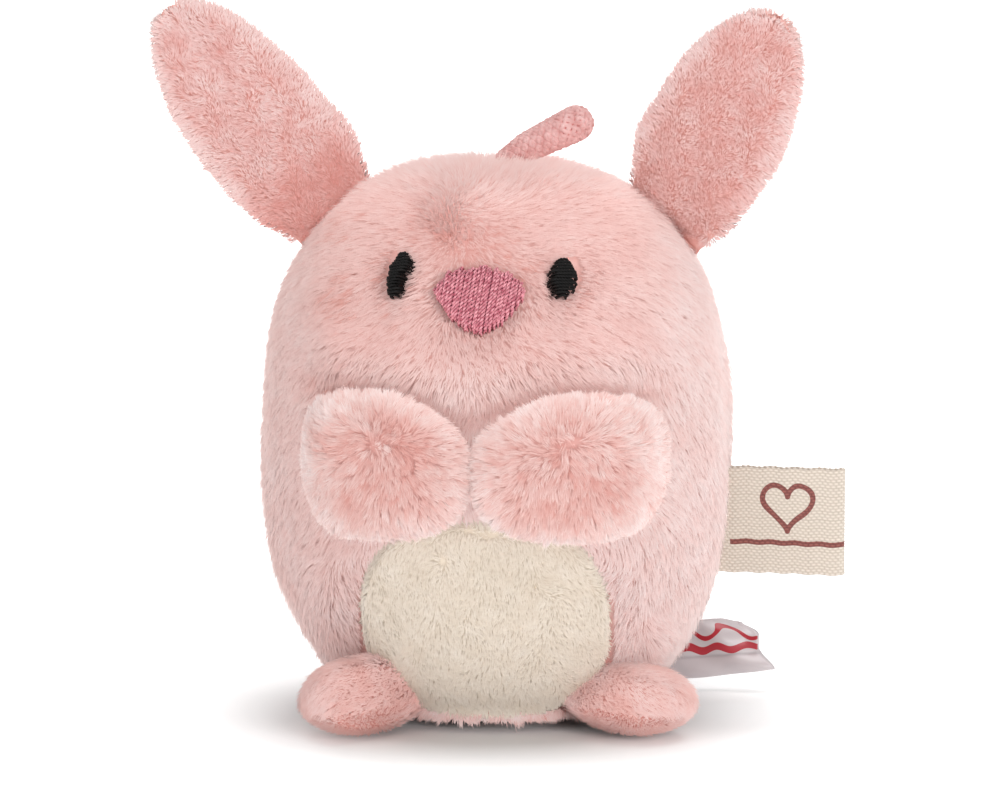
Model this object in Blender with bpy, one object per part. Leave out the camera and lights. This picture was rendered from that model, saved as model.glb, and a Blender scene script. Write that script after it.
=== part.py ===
"""A small stuffed bunny with a hanging loop, as the sewn pieces it is made of.

Metres, +Z up. The origin is on the floor under the middle of the body, and the bunny faces -Y.
Left and right are the bunny's own: its left side is at +X. Every fabric piece is a thick shell
whose outer face is where the tips of its pile lie. Neighbouring pieces keep a small gap.
"""

import math

import bmesh
import bpy
from mathutils import Matrix, Vector

MM = 0.001
GAP = 0.3 * MM  # between pieces that are sewn together or lie on each other

# Body: a rounded egg, |radius share|^n + |height share|^n = 1, cut flat at the floor
HALF_WIDTH = 23.75 * MM
HALF_DEPTH = 20.5 * MM
WAIST_Z = 27.5 * MM  # where the body is widest
TOP_RISE = 28.5 * MM  # from the waist to the crown
LOW_DROP = 29.5 * MM  # from the waist down, if the floor did not cut it
ROUNDNESS = 2.5
BODY_CLOTH = 1.8 * MM
BODY_ROWS = 14
FRONT_COLUMNS = 20

# Inside the body
PELLET_TOP_Z = 11.5 * MM
FILL_INSET = BODY_CLOTH + 0.5 * MM

# Belly patch, seen from the front
PATCH_CENTRE_Z = 11.3 * MM
PATCH_HALF_WIDTH = 12.9 * MM
PATCH_HALF_HEIGHT = 10.3 * MM
PATCH_ROUNDNESS = 2.6

# Embroidered face
NOSE_Z = 44.3 * MM
NOSE_HALF_WIDTH = 4.75 * MM
NOSE_HALF_HEIGHT = 3.4 * MM
EYE_X = 8.3 * MM
EYE_Z = 46.0 * MM
EYE_HALF_WIDTH = 1.65 * MM
EYE_HALF_HEIGHT = 2.4 * MM
STITCH_DEPTH = 1.1 * MM  # how far the embroidery presses into the pile
STITCH_CROWN = 0.25 * MM  # how far its middle stands over the rim

# Ears
EAR_LENGTH = {"left": 21.9 * MM, "right": 23.8 * MM}  # from the hinge line to the tip
EAR_WIDEST_HALF = 7.2 * MM
EAR_BASE_SHARE = 0.86  # of the widest
EAR_WIDE_FROM, EAR_WIDE_TO = 0.2, 0.33  # of the length
EAR_THICK_HALF = 1.9 * MM
EAR_FOOT = 1.6 * MM  # radius of the rounded base end about the hinge line
EAR_STAND_OFF = 2.2 * MM  # hinge line above the head's surface
EAR_SEAM_Z = 50.4 * MM
EAR_TILT = {"left": math.radians(28), "right": math.radians(38.5)}
EAR_LEAN = {"left": math.radians(12), "right": 0.0}  # tip forward, at rest

# Arms, in front view and in height over the body's surface
ARM_X = 9.3 * MM
ARM_Z = 27.9 * MM
ARM_HALF_LENGTH = 8.85 * MM
ARM_HALF_HEIGHT = 7.1 * MM
ARM_SEAM_LIFT = 2.35 * MM
ARM_FRONT_RISE = 5.0 * MM
ARM_BACK_RISE = 1.7 * MM
ARM_FRONT_CLOTH = 1.5 * MM
ARM_BACK_CLOTH = 1.2 * MM
ARM_HINGE_X = 18.3 * MM

# Feet
FOOT_TURN = {"left": math.radians(48), "right": math.radians(41)}  # toes outward from the front
FOOT_REACH = {"left": 18.3 * MM, "right": 17.4 * MM}  # centre of the foot from the body's axis
FOOT_HALF_LENGTH = 7.4 * MM
FOOT_HALF_WIDTH = 6.6 * MM
FOOT_SEAM_Z = 2.4 * MM
FOOT_TOP_RISE = 5.9 * MM
FOOT_SOLE_DROP = 2.0 * MM
FOOT_TOP_CLOTH = 1.4 * MM
FOOT_SOLE_CLOTH = 1.0 * MM
FOOT_CLEARANCE = 1.7 * MM  # room to bend up against the body

# Tail
TAIL_RADIUS = 5.2 * MM
TAIL_CLOTH = 1.4 * MM
TAIL_Z = 9.9 * MM
TAIL_STAND_OFF = 5.75 * MM  # centre of the tail behind the body's surface
TAIL_OPENING = math.radians(150)  # the gathered mouth of the cover, from its far pole

# Hanging loop
CORD_RADIUS = 1.25 * MM
LOOP_X = 1.6 * MM
LOOP_LEAN = math.radians(65)  # from vertical, towards the bunny's left
LOOP_BEND = 1.6 * MM  # half the distance between the two legs
LOOP_HINGE_LIFT = 0.8 * MM
LOOP_START = 1.6 * MM
LOOP_LENGTH = 8.4 * MM
BARTACK_HALF_LENGTH = 2.6 * MM
BARTACK_HALF_WIDTH = 1.0 * MM
BARTACK_HEIGHT = 0.35 * MM

# Sewn-in labels, each a ribbon folded once at its free end
RIBBON = 0.35 * MM
RIBBON_FOLD_GAP = 0.35 * MM
FLAG_LENGTH = 10.3 * MM
FLAG_LOW_Z, FLAG_HIGH_Z = 14.5 * MM, 25.0 * MM
FLAG_X = 24.3 * MM
CARE_LENGTH = 12.8 * MM
CARE_LOW_Z, CARE_HIGH_Z = 1.3 * MM, 7.5 * MM
CARE_X, CARE_Y = 13.8 * MM, 12.9 * MM
CARE_TURN = math.radians(4)

# Ladder stitch that closes the back seam
THREAD_RADIUS = 0.15 * MM
THREAD_LIFT = 0.5 * MM
THREAD_LOW_Z, THREAD_HIGH_Z = 19.0 * MM, 37.0 * MM
THREAD_HALF_WIDTH = 0.9 * MM
THREAD_STITCHES = 12

SIDES = {"left": 1, "right": -1}


def clear_scene():
    for obj in list(bpy.data.objects):
        bpy.data.objects.remove(obj)


def make_material(name, colour, roughness):
    material = bpy.data.materials.new(name)
    material.use_nodes = True
    shader = material.node_tree.nodes["Principled BSDF"]
    shader.inputs["Base Color"].default_value = (*colour, 1)
    shader.inputs["Roughness"].default_value = roughness
    shader.inputs["Metallic"].default_value = 0
    return material


def make_materials():
    return {
        "pink_plush": make_material("pink_plush", (0.87, 0.50, 0.47), 0.9),
        "ear_plush": make_material("ear_plush", (0.83, 0.40, 0.36), 0.9),
        "cream_plush": make_material("cream_plush", (0.78, 0.68, 0.55), 0.9),
        "rose_thread": make_material("rose_thread", (0.60, 0.17, 0.24), 0.45),
        "black_thread": make_material("black_thread", (0.012, 0.011, 0.01), 0.4),
        "pink_cord": make_material("pink_cord", (0.80, 0.34, 0.33), 0.75),
        "cream_ribbon": make_material("cream_ribbon", (0.78, 0.68, 0.56), 0.6),
        "satin_ribbon": make_material("satin_ribbon", (0.72, 0.68, 0.69), 0.35),
        "fibre_fill": make_material("fibre_fill", (0.88, 0.88, 0.86), 1.0),
        "pellet_cloth": make_material("pellet_cloth", (0.70, 0.70, 0.68), 0.9),
    }


def make_joint(name, location):
    """An empty on a joint's axis. The pieces that turn about it are its children."""
    joint = bpy.data.objects.new(name, None)
    joint.location = location
    bpy.context.scene.collection.objects.link(joint)
    return joint


def make_object(name, bm, material, joint=None):
    """A node from bmesh shapes in world coordinates. Its origin is its joint's, or the world's."""
    origin = Vector(joint.location) if joint else Vector((0, 0, 0))
    bmesh.ops.recalc_face_normals(bm, faces=bm.faces)
    bmesh.ops.translate(bm, vec=-origin, verts=bm.verts)
    mesh = bpy.data.meshes.new(name)
    bm.to_mesh(mesh)
    bm.free()
    mesh.shade_smooth()
    mesh.set_sharp_from_angle(angle=math.radians(50))
    mesh.materials.append(material)
    obj = bpy.data.objects.new(name, mesh)
    bpy.context.scene.collection.objects.link(obj)
    obj.parent = joint
    return obj


def make_cutter(name, bm):
    cutter = make_object(name, bm, None)
    cutter.hide_render = True
    cutter.display_type = "WIRE"
    return cutter


def cut(obj, cutter):
    boolean = obj.modifiers.new("Cut " + cutter.name, "BOOLEAN")
    boolean.operation = "DIFFERENCE"
    boolean.object = cutter


def ringed_solid(rings):
    """A closed bmesh through a row of loops. The first and the last loop are filled with fans."""
    bm = bmesh.new()
    loops = [[bm.verts.new(point) for point in ring] for ring in rings]
    for here, there in zip(loops, loops[1:]):
        count = len(here)
        for k in range(count):
            after = (k + 1) % count
            bm.faces.new((here[k], here[after], there[after], there[k]))
    for loop, ring in ((loops[0], rings[0]), (loops[-1], rings[-1])):
        middle = bm.verts.new(sum((Vector(p) for p in ring), Vector()) / len(ring))
        for k in range(len(loop)):
            bm.faces.new((loop[k], loop[(k + 1) % len(loop)], middle))
    return bm


def signed_power(value, power):
    return math.copysign(abs(value) ** power, value)


def superellipse(angle, half_a, half_b, roundness):
    power = 2 / roundness
    return half_a * signed_power(math.cos(angle), power), half_b * signed_power(math.sin(angle), power)


# The body's surface


def radius_share(z):
    """The body's width at height z, as a share of its greatest width."""
    rise = (z - WAIST_Z) / (TOP_RISE if z > WAIST_Z else LOW_DROP)
    return max(0.0, 1 - abs(rise) ** ROUNDNESS) ** (1 / ROUNDNESS)


def body_normal(point):
    reach = LOW_DROP if point.z < WAIST_Z else TOP_RISE
    rise = (point.z - WAIST_Z) / reach
    flat = math.hypot(point.x / HALF_WIDTH, point.y / HALF_DEPTH)
    slope = flat ** (ROUNDNESS - 2) if flat > 0 else 0.0
    up = signed_power(rise, ROUNDNESS - 1) / reach
    return Vector((slope * point.x / HALF_WIDTH**2, slope * point.y / HALF_DEPTH**2, up)).normalized()


def surface_point(turn, z, lift=0.0):
    """The point at height z in the direction turn, counted from +X towards +Y, lifted along the normal."""
    share = radius_share(z)
    point = Vector((HALF_WIDTH * share * math.cos(turn), HALF_DEPTH * share * math.sin(turn), z))
    return point + body_normal(point) * lift


def front_point(x, z, lift=0.0):
    """The point of the front that is seen at (x, z) from ahead, lifted along the normal."""
    across = max(0.0, radius_share(z) ** 2 - (x / HALF_WIDTH) ** 2)
    point = Vector((x, -HALF_DEPTH * math.sqrt(across), z))
    return point + body_normal(point) * lift


def row_heights(rows, low_z=0.0):
    """Heights from low_z to the crown that follow the curve of the side evenly."""
    low = -math.asin(((WAIST_Z - low_z) / LOW_DROP) ** (ROUNDNESS / 2))
    heights = []
    for i in range(rows + 1):
        angle = low + (math.pi / 2 - low) * i / rows
        rise = signed_power(math.sin(angle), 2 / ROUNDNESS)
        heights.append(WAIST_Z + rise * (TOP_RISE if rise > 0 else LOW_DROP))
    return heights


def body_sector(turn_a, turn_b, columns, shift):
    """The cloth between two upright planes through the body's axis, moved off its seams by shift."""
    bm = bmesh.new()
    heights = row_heights(BODY_ROWS)
    turns = [turn_a + (turn_b - turn_a) * k / columns for k in range(columns + 1)]
    faces = []
    for lift in (0.0, -BODY_CLOTH):
        faces.append([[bm.verts.new(surface_point(t, z, lift) + shift) for t in turns] for z in heights])
    outer, inner = faces
    for i in range(BODY_ROWS):
        for k in range(columns):
            for side in (outer, inner):
                bm.faces.new((side[i][k], side[i][k + 1], side[i + 1][k + 1], side[i + 1][k]))
        for k in (0, columns):
            bm.faces.new((outer[i][k], outer[i + 1][k], inner[i + 1][k], inner[i][k]))
    for k in range(columns):
        bm.faces.new((outer[0][k], outer[0][k + 1], inner[0][k + 1], inner[0][k]))
    bmesh.ops.remove_doubles(bm, verts=bm.verts, dist=0.001 * MM)
    return bm


def body_rings(heights, lift, columns=28):
    turns = [2 * math.pi * k / columns for k in range(columns)]
    return [[surface_point(t, z, lift) for t in turns] for z in heights]


def front_pad(outline, low, crown, margin=0.0, rings=3, spokes=28):
    """A pad on the front of the body. outline(angle, margin) gives (x, z); heights are over the surface."""
    centre = outline(None, 0.0)
    angles = [2 * math.pi * k / spokes for k in range(spokes)]

    def ring(share, lift):
        points = []
        for angle in angles:
            x, z = outline(angle, margin)
            points.append(front_point(centre[0] + (x - centre[0]) * share, centre[1] + (z - centre[1]) * share, lift))
        return points

    shares = [(i + 1) / rings for i in range(rings)]
    over = [ring(s, crown(s)) for s in shares]
    under = [ring(s, low) for s in reversed(shares)]
    return ringed_solid(over + under)


# Body pieces


def make_body(materials):
    half = GAP / 2
    pink = materials["pink_plush"]
    front = make_object(
        "body_front_panel",
        body_sector(math.pi, 2 * math.pi, FRONT_COLUMNS, Vector((0, -half, 0))),
        pink,
    )
    for side, sign in SIDES.items():
        start = 0.0 if sign > 0 else math.pi / 2
        make_object(
            f"body_back_panel_{side}",
            body_sector(start, start + math.pi / 2, FRONT_COLUMNS // 2, Vector((sign * half, half, 0))),
            pink,
        )
    make_base_panel(pink)
    make_belly_patch(front, materials)
    make_face(front, materials)
    make_body_filling(materials)
    return front


def make_base_panel(material):
    """The flat oval under the body, tapered so that it clears the edge of the cloth round it."""
    rim = body_rings([0.0], 0.0)[0]
    top = body_rings([0.0], -BODY_CLOTH)[0]
    rings = []
    for ring, z in ((rim, 0.0), (top, BODY_CLOTH - 0.2 * MM)):
        for share in (0.5, 1.0) if z == 0.0 else (1.0, 0.5):
            loop = []
            for point in ring:
                flat = Vector((point.x, point.y, 0))
                inset = flat * share - flat.normalized() * (GAP + 0.05 * MM)
                loop.append(Vector((inset.x, inset.y, z)))
            rings.append(loop)
    make_object("base_panel", ringed_solid(rings), material)


def patch_outline(angle, margin):
    if angle is None:
        return 0.0, PATCH_CENTRE_Z
    x, z = superellipse(angle, PATCH_HALF_WIDTH + margin, PATCH_HALF_HEIGHT + margin, PATCH_ROUNDNESS)
    return x, PATCH_CENTRE_Z + z


def make_belly_patch(front, materials):
    """The cream patch fills an opening in the front panel, so that the cloth is one layer thick."""
    opening = front_pad(patch_outline, -BODY_CLOTH - 1.5 * MM, lambda s: 1.5 * MM, margin=GAP, spokes=36)
    cut(front, make_cutter("patch_opening", opening))
    patch = front_pad(patch_outline, -BODY_CLOTH, lambda s: 0.0, rings=4, spokes=36)
    make_object("belly_patch", patch, materials["cream_plush"])


def nose_outline(angle, margin):
    """A rounded triangle with its point down."""
    if angle is None:
        return 0.0, NOSE_Z
    x, z = superellipse(angle, NOSE_HALF_WIDTH + margin, NOSE_HALF_HEIGHT + margin, 2.3)
    narrowing = 0.42 * max(0.0, 0.35 * NOSE_HALF_HEIGHT - z) / NOSE_HALF_HEIGHT
    return x * (1 - narrowing), NOSE_Z + z


def eye_outline(sign):
    def outline(angle, margin):
        if angle is None:
            return sign * EYE_X, EYE_Z
        x, z = superellipse(angle, EYE_HALF_WIDTH + margin, EYE_HALF_HEIGHT + margin, 2.2)
        return sign * EYE_X + x, EYE_Z + z

    return outline


def make_face(front, materials):
    """Satin stitching sunk into pockets of flattened pile."""
    features = [
        ("nose_embroidery", nose_outline, "rose_thread", 28),
        ("eye_embroidery_left", eye_outline(1), "black_thread", 18),
        ("eye_embroidery_right", eye_outline(-1), "black_thread", 18),
    ]
    for name, outline, thread, spokes in features:
        pocket = front_pad(outline, -STITCH_DEPTH - GAP, lambda s: 2 * MM, margin=GAP, rings=1, spokes=spokes)
        cut(front, make_cutter(name + "_pocket", pocket))
        pad = front_pad(
            outline,
            -STITCH_DEPTH,
            lambda s: STITCH_CROWN * (1 - s**2) - 0.45 * MM * s**4,
            spokes=spokes,
        )
        make_object(name, pad, materials[thread])


def make_body_filling(materials):
    """Polyester fibre over a small bag of pellets, which keeps the bunny upright."""
    heights = [z for z in row_heights(11) if z > PELLET_TOP_Z + 2 * MM]
    fibre = body_rings([PELLET_TOP_Z + GAP] + heights[:-1], -FILL_INSET)
    make_object("body_filling", ringed_solid(fibre), materials["fibre_fill"])
    levels = [BODY_CLOTH + 0.6 * MM, 3.2 * MM, 5.5 * MM, 8.5 * MM, PELLET_TOP_Z]
    bag = [
        [Vector((point.x, point.y, z)) for point in body_rings([z], 0.0)[0]]
        for z in levels
    ]
    for ring, z in zip(bag, levels):
        share = radius_share(z)
        inset = (FILL_INSET + (2.6 * MM if z < 4 * MM else 1.2 * MM)) / (HALF_DEPTH * share)
        ring[:] = [Vector((p.x * (1 - inset), p.y * (1 - inset), p.z)) for p in ring]
    make_object("pellet_bag", ringed_solid(bag), materials["pellet_cloth"])


# Soft lobes: arms and feet


def dome(share, power):
    return math.sqrt(max(0.0, 1 - share**power))


def lobe(place, half_a, half_b, roundness, seam, rises, cloths, power, skew=0.0, spokes=24, rings=4):
    """Top shell, bottom shell and filling of a sewn lobe.

    place(a, b, h) puts a point of the lobe's own frame in the world. rises are the heights of the top
    and the bottom over the seam, cloths their thicknesses, and skew makes the +a end fuller.
    """
    shares = [(i + 1) / rings for i in range(rings)]

    def ring(share, inset, rise, offset):
        points = []
        for k in range(spokes):
            angle = 2 * math.pi * k / spokes
            a, b = superellipse(angle, half_a - inset, half_b - inset, roundness)
            full = 1 + skew * share * math.cos(angle)
            points.append(place(a * share, b * share, seam + offset + rise * full * dome(share, power)))
        return points

    def shell(rise, cloth, sign):
        outer = [ring(s, 0.0, sign * rise, sign * GAP / 2) for s in shares]
        inner = [ring(s, cloth, sign * (rise - cloth), sign * GAP / 2) for s in reversed(shares)]
        return ringed_solid(outer + inner)

    top, bottom = rises
    inset = max(cloths) + GAP
    over = [ring(s, inset, top - cloths[0] - GAP, GAP / 2) for s in shares]
    under = [ring(s, inset, -(bottom - cloths[1]) / 2, -GAP / 2) for s in reversed(shares)]
    return shell(top, cloths[0], 1), shell(bottom, cloths[1], -1), ringed_solid(over + under)


def make_arm(side, sign, materials):
    """A padded arm that lies along the front, sewn to the body at its outer end."""

    def place(a, b, h):
        return front_point(sign * (ARM_X - a), ARM_Z + b, h)

    joint = make_joint(f"arm_{side}_hinge", front_point(sign * ARM_HINGE_X, ARM_Z, 0.4 * MM))
    front, back, filling = lobe(
        place,
        ARM_HALF_LENGTH,
        ARM_HALF_HEIGHT,
        2.5,
        ARM_SEAM_LIFT,
        (ARM_FRONT_RISE, ARM_BACK_RISE),
        (ARM_FRONT_CLOTH, ARM_BACK_CLOTH),
        2.6,
        skew=0.22,
    )
    make_object(f"arm_front_panel_{side}", front, materials["pink_plush"], joint)
    make_object(f"arm_back_panel_{side}", back, materials["pink_plush"], joint)
    make_object(f"arm_filling_{side}", filling, materials["fibre_fill"], joint)


def make_foot(side, sign, envelope, materials):
    """A padded foot under the body's lower edge, hollowed where the body presses on it."""
    turn = FOOT_TURN[side]
    ahead = Vector((sign * math.sin(turn), -math.cos(turn), 0))
    across = Vector((math.cos(turn), sign * math.sin(turn), 0))
    centre = ahead * FOOT_REACH[side]

    def place(a, b, h):
        return centre + ahead * a + across * b + Vector((0, 0, h))

    inner_end = FOOT_REACH[side] - FOOT_HALF_LENGTH
    joint = make_joint(f"foot_{side}_hinge", ahead * inner_end + Vector((0, 0, 1 * MM)))
    top, sole, filling = lobe(
        place,
        FOOT_HALF_LENGTH,
        FOOT_HALF_WIDTH,
        2.3,
        FOOT_SEAM_Z,
        (FOOT_TOP_RISE, FOOT_SOLE_DROP),
        (FOOT_TOP_CLOTH, FOOT_SOLE_CLOTH),
        2.6,
        spokes=22,
    )
    for name, shape, slot in (
        (f"foot_top_panel_{side}", top, "ear_plush"),
        (f"foot_sole_panel_{side}", sole, "ear_plush"),
        (f"foot_filling_{side}", filling, "fibre_fill"),
    ):
        cut(make_object(name, shape, materials[slot], joint), envelope)


def make_limbs(materials):
    heights = [-0.6 * MM] + row_heights(12)[1:-1]
    envelope = make_cutter("body_envelope", ringed_solid(body_rings(heights, FOOT_CLEARANCE, 36)))
    for side, sign in SIDES.items():
        make_arm(side, sign, materials)
        make_foot(side, sign, envelope, materials)


# Ears


def ear_half_width(share):
    """Half the ear's width at a share of its length: a narrow base, full middle and round tip."""
    widening = min(1.0, max(0.0, share / EAR_WIDE_FROM))
    body = EAR_WIDEST_HALF * (EAR_BASE_SHARE + (1 - EAR_BASE_SHARE) * widening)
    past = max(0.0, (share - EAR_WIDE_TO) / (1 - EAR_WIDE_TO))
    return body * math.sqrt(max(0.0, 1 - past**1.95))


def make_ear(side, sign, materials):
    seam = surface_point(0.0 if sign > 0 else math.pi, EAR_SEAM_Z)
    normal = body_normal(seam)
    hinge = seam + normal * EAR_STAND_OFF
    tangent = Vector((normal.z, 0, -normal.x))
    lean = Matrix.Rotation(EAR_LEAN[side], 3, tangent)
    tilt = EAR_TILT[side]
    along = lean @ Vector((sign * math.sin(tilt), 0, math.cos(tilt)))
    facing = lean @ Vector((0, -1, 0))
    joint = make_joint(f"ear_{side}_hinge", hinge)
    for face, direction, slot in (("front", 1, "ear_plush"), ("back", -1, "pink_plush")):
        make_object(
            f"ear_{face}_panel_{side}",
            ear_half(hinge, tangent, along, facing * direction, EAR_LENGTH[side]),
            materials[slot],
            joint,
        )


def ear_half(hinge, tangent, along, facing, length, columns=8, rows=11):
    """One cloth half of an ear: flat inside, domed outside, with a base end rounded about the hinge."""

    def ring(distance):
        share = distance / length
        half = ear_half_width(share)
        if distance < 0:
            thick = math.sqrt(EAR_FOOT**2 - distance**2)
        else:
            thick = min(EAR_FOOT + 0.12 * distance, EAR_THICK_HALF) * (half / EAR_WIDEST_HALF) ** 0.5
            thick = max(thick, EAR_FOOT) if share < 0.5 else thick
        loop = []
        for k in range(columns + 1):
            angle = math.pi * k / columns
            rise = max(math.sin(angle) ** 0.7, 0.0) * (thick - GAP / 2)
            loop.append((half * math.cos(angle), GAP / 2 + 0.25 * MM + rise * 0.9))
        for k in range(1, 4):
            loop.append((half * (k - 2) / 2, GAP / 2))
        return [hinge + tangent * a + facing * h + along * distance for a, h in loop]

    feet = [-0.95 * EAR_FOOT, -0.7 * EAR_FOOT]
    tip = [1 - (1 - k / rows) ** 1.6 for k in range(rows)] + [0.995]
    return ringed_solid([ring(d) for d in feet] + [ring(length * s) for s in tip])


# Tail, loop, labels and thread


def make_tail(materials):
    share = radius_share(TAIL_Z)
    centre = Vector((0, HALF_DEPTH * share + TAIL_STAND_OFF, TAIL_Z))
    joint = make_joint("tail_hinge", Vector((0, HALF_DEPTH * share + 0.5 * MM, TAIL_Z)))

    def ring(angle, radius, spokes=18):
        """A circle of the ball, at an angle from its far pole."""
        turns = [2 * math.pi * k / spokes for k in range(spokes)]
        reach = radius * math.sin(angle)
        return [
            centre + Vector((reach * math.cos(t), radius * math.cos(angle), reach * math.sin(t))) for t in turns
        ]

    rows = 6
    angles = [TAIL_OPENING * (i + 0.35) / (rows + 0.35) for i in range(rows + 1)]
    cover = [ring(a, TAIL_RADIUS) for a in angles]
    cover += [ring(a, TAIL_RADIUS - TAIL_CLOTH) for a in reversed(angles)]
    make_object("tail_cover", ringed_solid(cover), materials["cream_plush"], joint)
    inside = TAIL_RADIUS - TAIL_CLOTH - GAP
    ball = [ring(math.pi * (i + 0.4) / (rows + 0.8), inside, 14) for i in range(rows + 1)]
    make_object("tail_filling", ringed_solid(ball), materials["fibre_fill"], joint)


def make_loop(materials):
    """A cord doubled back on itself. Its legs lie one behind the other, and it leans to the left."""
    crown = Vector((LOOP_X, 0, crown_height(LOOP_X)))
    root = crown + Vector((0, 0, LOOP_HINGE_LIFT))
    joint = make_joint("loop_hinge", root)
    out = Vector((math.sin(LOOP_LEAN), 0, math.cos(LOOP_LEAN)))
    back = Vector((0, 1, 0))
    bend = LOOP_LENGTH - LOOP_BEND - CORD_RADIUS
    steps = 10
    path = [root + out * LOOP_START - back * LOOP_BEND, root + out * (LOOP_START + bend) / 2 - back * LOOP_BEND]
    for k in range(steps + 1):
        angle = math.pi * k / steps
        path.append(root + out * (bend + LOOP_BEND * math.sin(angle)) - back * LOOP_BEND * math.cos(angle))
    path += [root + out * (LOOP_START + bend) / 2 + back * LOOP_BEND, root + out * LOOP_START + back * LOOP_BEND]
    make_object("hanging_loop", tube(path, CORD_RADIUS, 10), materials["pink_cord"], joint)
    tack = []
    for share, height in ((1.0, GAP), (1.0, GAP + BARTACK_HEIGHT / 2), (0.7, GAP + BARTACK_HEIGHT)):
        turns = [2 * math.pi * k / 12 for k in range(12)]
        half_x, half_y = BARTACK_HALF_WIDTH * share, BARTACK_HALF_LENGTH * share
        tack.append([crown + Vector((half_x * math.cos(t), half_y * math.sin(t), height)) for t in turns])
    make_object("loop_bartack", ringed_solid(tack), materials["rose_thread"])


def crown_height(x):
    """The height of the crown over a point on the seam between front and back."""
    return WAIST_Z + TOP_RISE * (1 - (abs(x) / HALF_WIDTH) ** ROUNDNESS) ** (1 / ROUNDNESS)


def tube(path, radius, sides):
    """A round tube along a path, with its sides kept from twisting."""
    rings = []
    previous = None
    for k, point in enumerate(path):
        ahead = path[min(k + 1, len(path) - 1)] - path[max(k - 1, 0)]
        ahead.normalize()
        if previous is None:
            previous = ahead.orthogonal().normalized()
        previous = (previous - ahead * previous.dot(ahead)).normalized()
        other = ahead.cross(previous)
        turns = [2 * math.pi * i / sides for i in range(sides)]
        rings.append([point + (previous * math.cos(t) + other * math.sin(t)) * radius for t in turns])
    return ringed_solid(rings)


def folded_ribbon(root, out, length, low_z, high_z):
    """A ribbon standing on edge, doubled back at its free end by a round fold."""
    aside = Vector((-out.y, out.x, 0))
    outer = RIBBON + RIBBON_FOLD_GAP / 2
    inner = RIBBON_FOLD_GAP / 2
    straight = length - outer
    steps = 6
    arc = [-math.pi / 2 + math.pi * k / steps for k in range(steps + 1)]
    profile = [(0.0, -outer)] + [(straight + outer * math.cos(a), outer * math.sin(a)) for a in arc]
    profile += [(0.0, outer), (0.0, inner)]
    profile += [(straight + inner * math.cos(a), inner * math.sin(a)) for a in reversed(arc)]
    profile += [(0.0, -inner)]
    bm = bmesh.new()
    loops = []
    for z in (low_z, high_z):
        loops.append([bm.verts.new(root + out * a + aside * b + Vector((0, 0, z))) for a, b in profile])
    count = len(profile)
    for k in range(count):
        after = (k + 1) % count
        bm.faces.new((loops[0][k], loops[0][after], loops[1][after], loops[1][k]))
    for loop in loops:
        for k in range(count // 2):
            pair = (loop[k], loop[k + 1], loop[count - 2 - k], loop[count - 1 - k])
            if len(set(pair)) == 4:
                bm.faces.new(pair)
    return bm


def make_labels(materials):
    """The flag label in the side seam, and the care label behind, near the floor."""
    root = Vector((FLAG_X, 0, 0))
    joint = make_joint("flag_label_hinge", root + Vector((0, 0, (FLAG_LOW_Z + FLAG_HIGH_Z) / 2)))
    flag = folded_ribbon(root, Vector((1, 0, 0)), FLAG_LENGTH, FLAG_LOW_Z, FLAG_HIGH_Z)
    make_object("flag_label", flag, materials["cream_ribbon"], joint)
    root = Vector((CARE_X, CARE_Y, 0))
    joint = make_joint("care_label_hinge", root + Vector((0, 0, (CARE_LOW_Z + CARE_HIGH_Z) / 2)))
    out = Vector((math.cos(CARE_TURN), math.sin(CARE_TURN), 0))
    care = folded_ribbon(root, out, CARE_LENGTH, CARE_LOW_Z, CARE_HIGH_Z)
    make_object("care_label", care, materials["satin_ribbon"], joint)


def make_closing_thread(materials):
    """The ladder stitch, a zigzag of thread across the seam between the two back panels."""
    path = []
    for k in range(THREAD_STITCHES + 1):
        z = THREAD_LOW_Z + (THREAD_HIGH_Z - THREAD_LOW_Z) * k / THREAD_STITCHES
        x = THREAD_HALF_WIDTH * (1 if k % 2 else -1)
        point = front_point(x, z, THREAD_LIFT)
        path.append(Vector((point.x, -point.y + GAP / 2, point.z)))
    make_object("closing_seam_thread", tube(path, THREAD_RADIUS, 6), materials["pink_cord"])


def main():
    clear_scene()
    materials = make_materials()
    make_body(materials)
    make_limbs(materials)
    for side, sign in SIDES.items():
        make_ear(side, sign, materials)
    make_tail(materials)
    make_loop(materials)
    make_labels(materials)
    make_closing_thread(materials)


main()
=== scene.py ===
import math

import bpy
import numpy as np
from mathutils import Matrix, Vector, kdtree


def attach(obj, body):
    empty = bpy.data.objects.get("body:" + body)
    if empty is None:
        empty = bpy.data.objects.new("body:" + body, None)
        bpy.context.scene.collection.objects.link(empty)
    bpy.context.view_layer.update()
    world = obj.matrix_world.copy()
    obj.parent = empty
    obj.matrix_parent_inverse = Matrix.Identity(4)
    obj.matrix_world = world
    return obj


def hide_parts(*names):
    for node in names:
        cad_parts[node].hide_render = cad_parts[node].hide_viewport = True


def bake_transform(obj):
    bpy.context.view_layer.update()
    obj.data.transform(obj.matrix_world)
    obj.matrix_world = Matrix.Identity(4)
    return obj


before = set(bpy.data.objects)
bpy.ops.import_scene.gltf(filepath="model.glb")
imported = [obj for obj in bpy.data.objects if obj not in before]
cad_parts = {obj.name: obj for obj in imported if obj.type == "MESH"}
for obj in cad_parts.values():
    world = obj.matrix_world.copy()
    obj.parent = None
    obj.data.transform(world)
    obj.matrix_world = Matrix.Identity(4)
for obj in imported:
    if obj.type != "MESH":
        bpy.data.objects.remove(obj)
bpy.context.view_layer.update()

MM = 0.001  # the geometry below is worked out in millimetres

# The body: a rounded egg, as in the CAD
HALF_WIDTH, HALF_DEPTH = 23.75, 20.5
WAIST_Z, TOP_RISE, LOW_DROP = 27.5, 28.5, 29.5
ROUND = 2.5
SKIN = -1.45  # the cloth under the body's pile, from the face of the pile
FLOOR_CLEAR = 0.04

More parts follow.
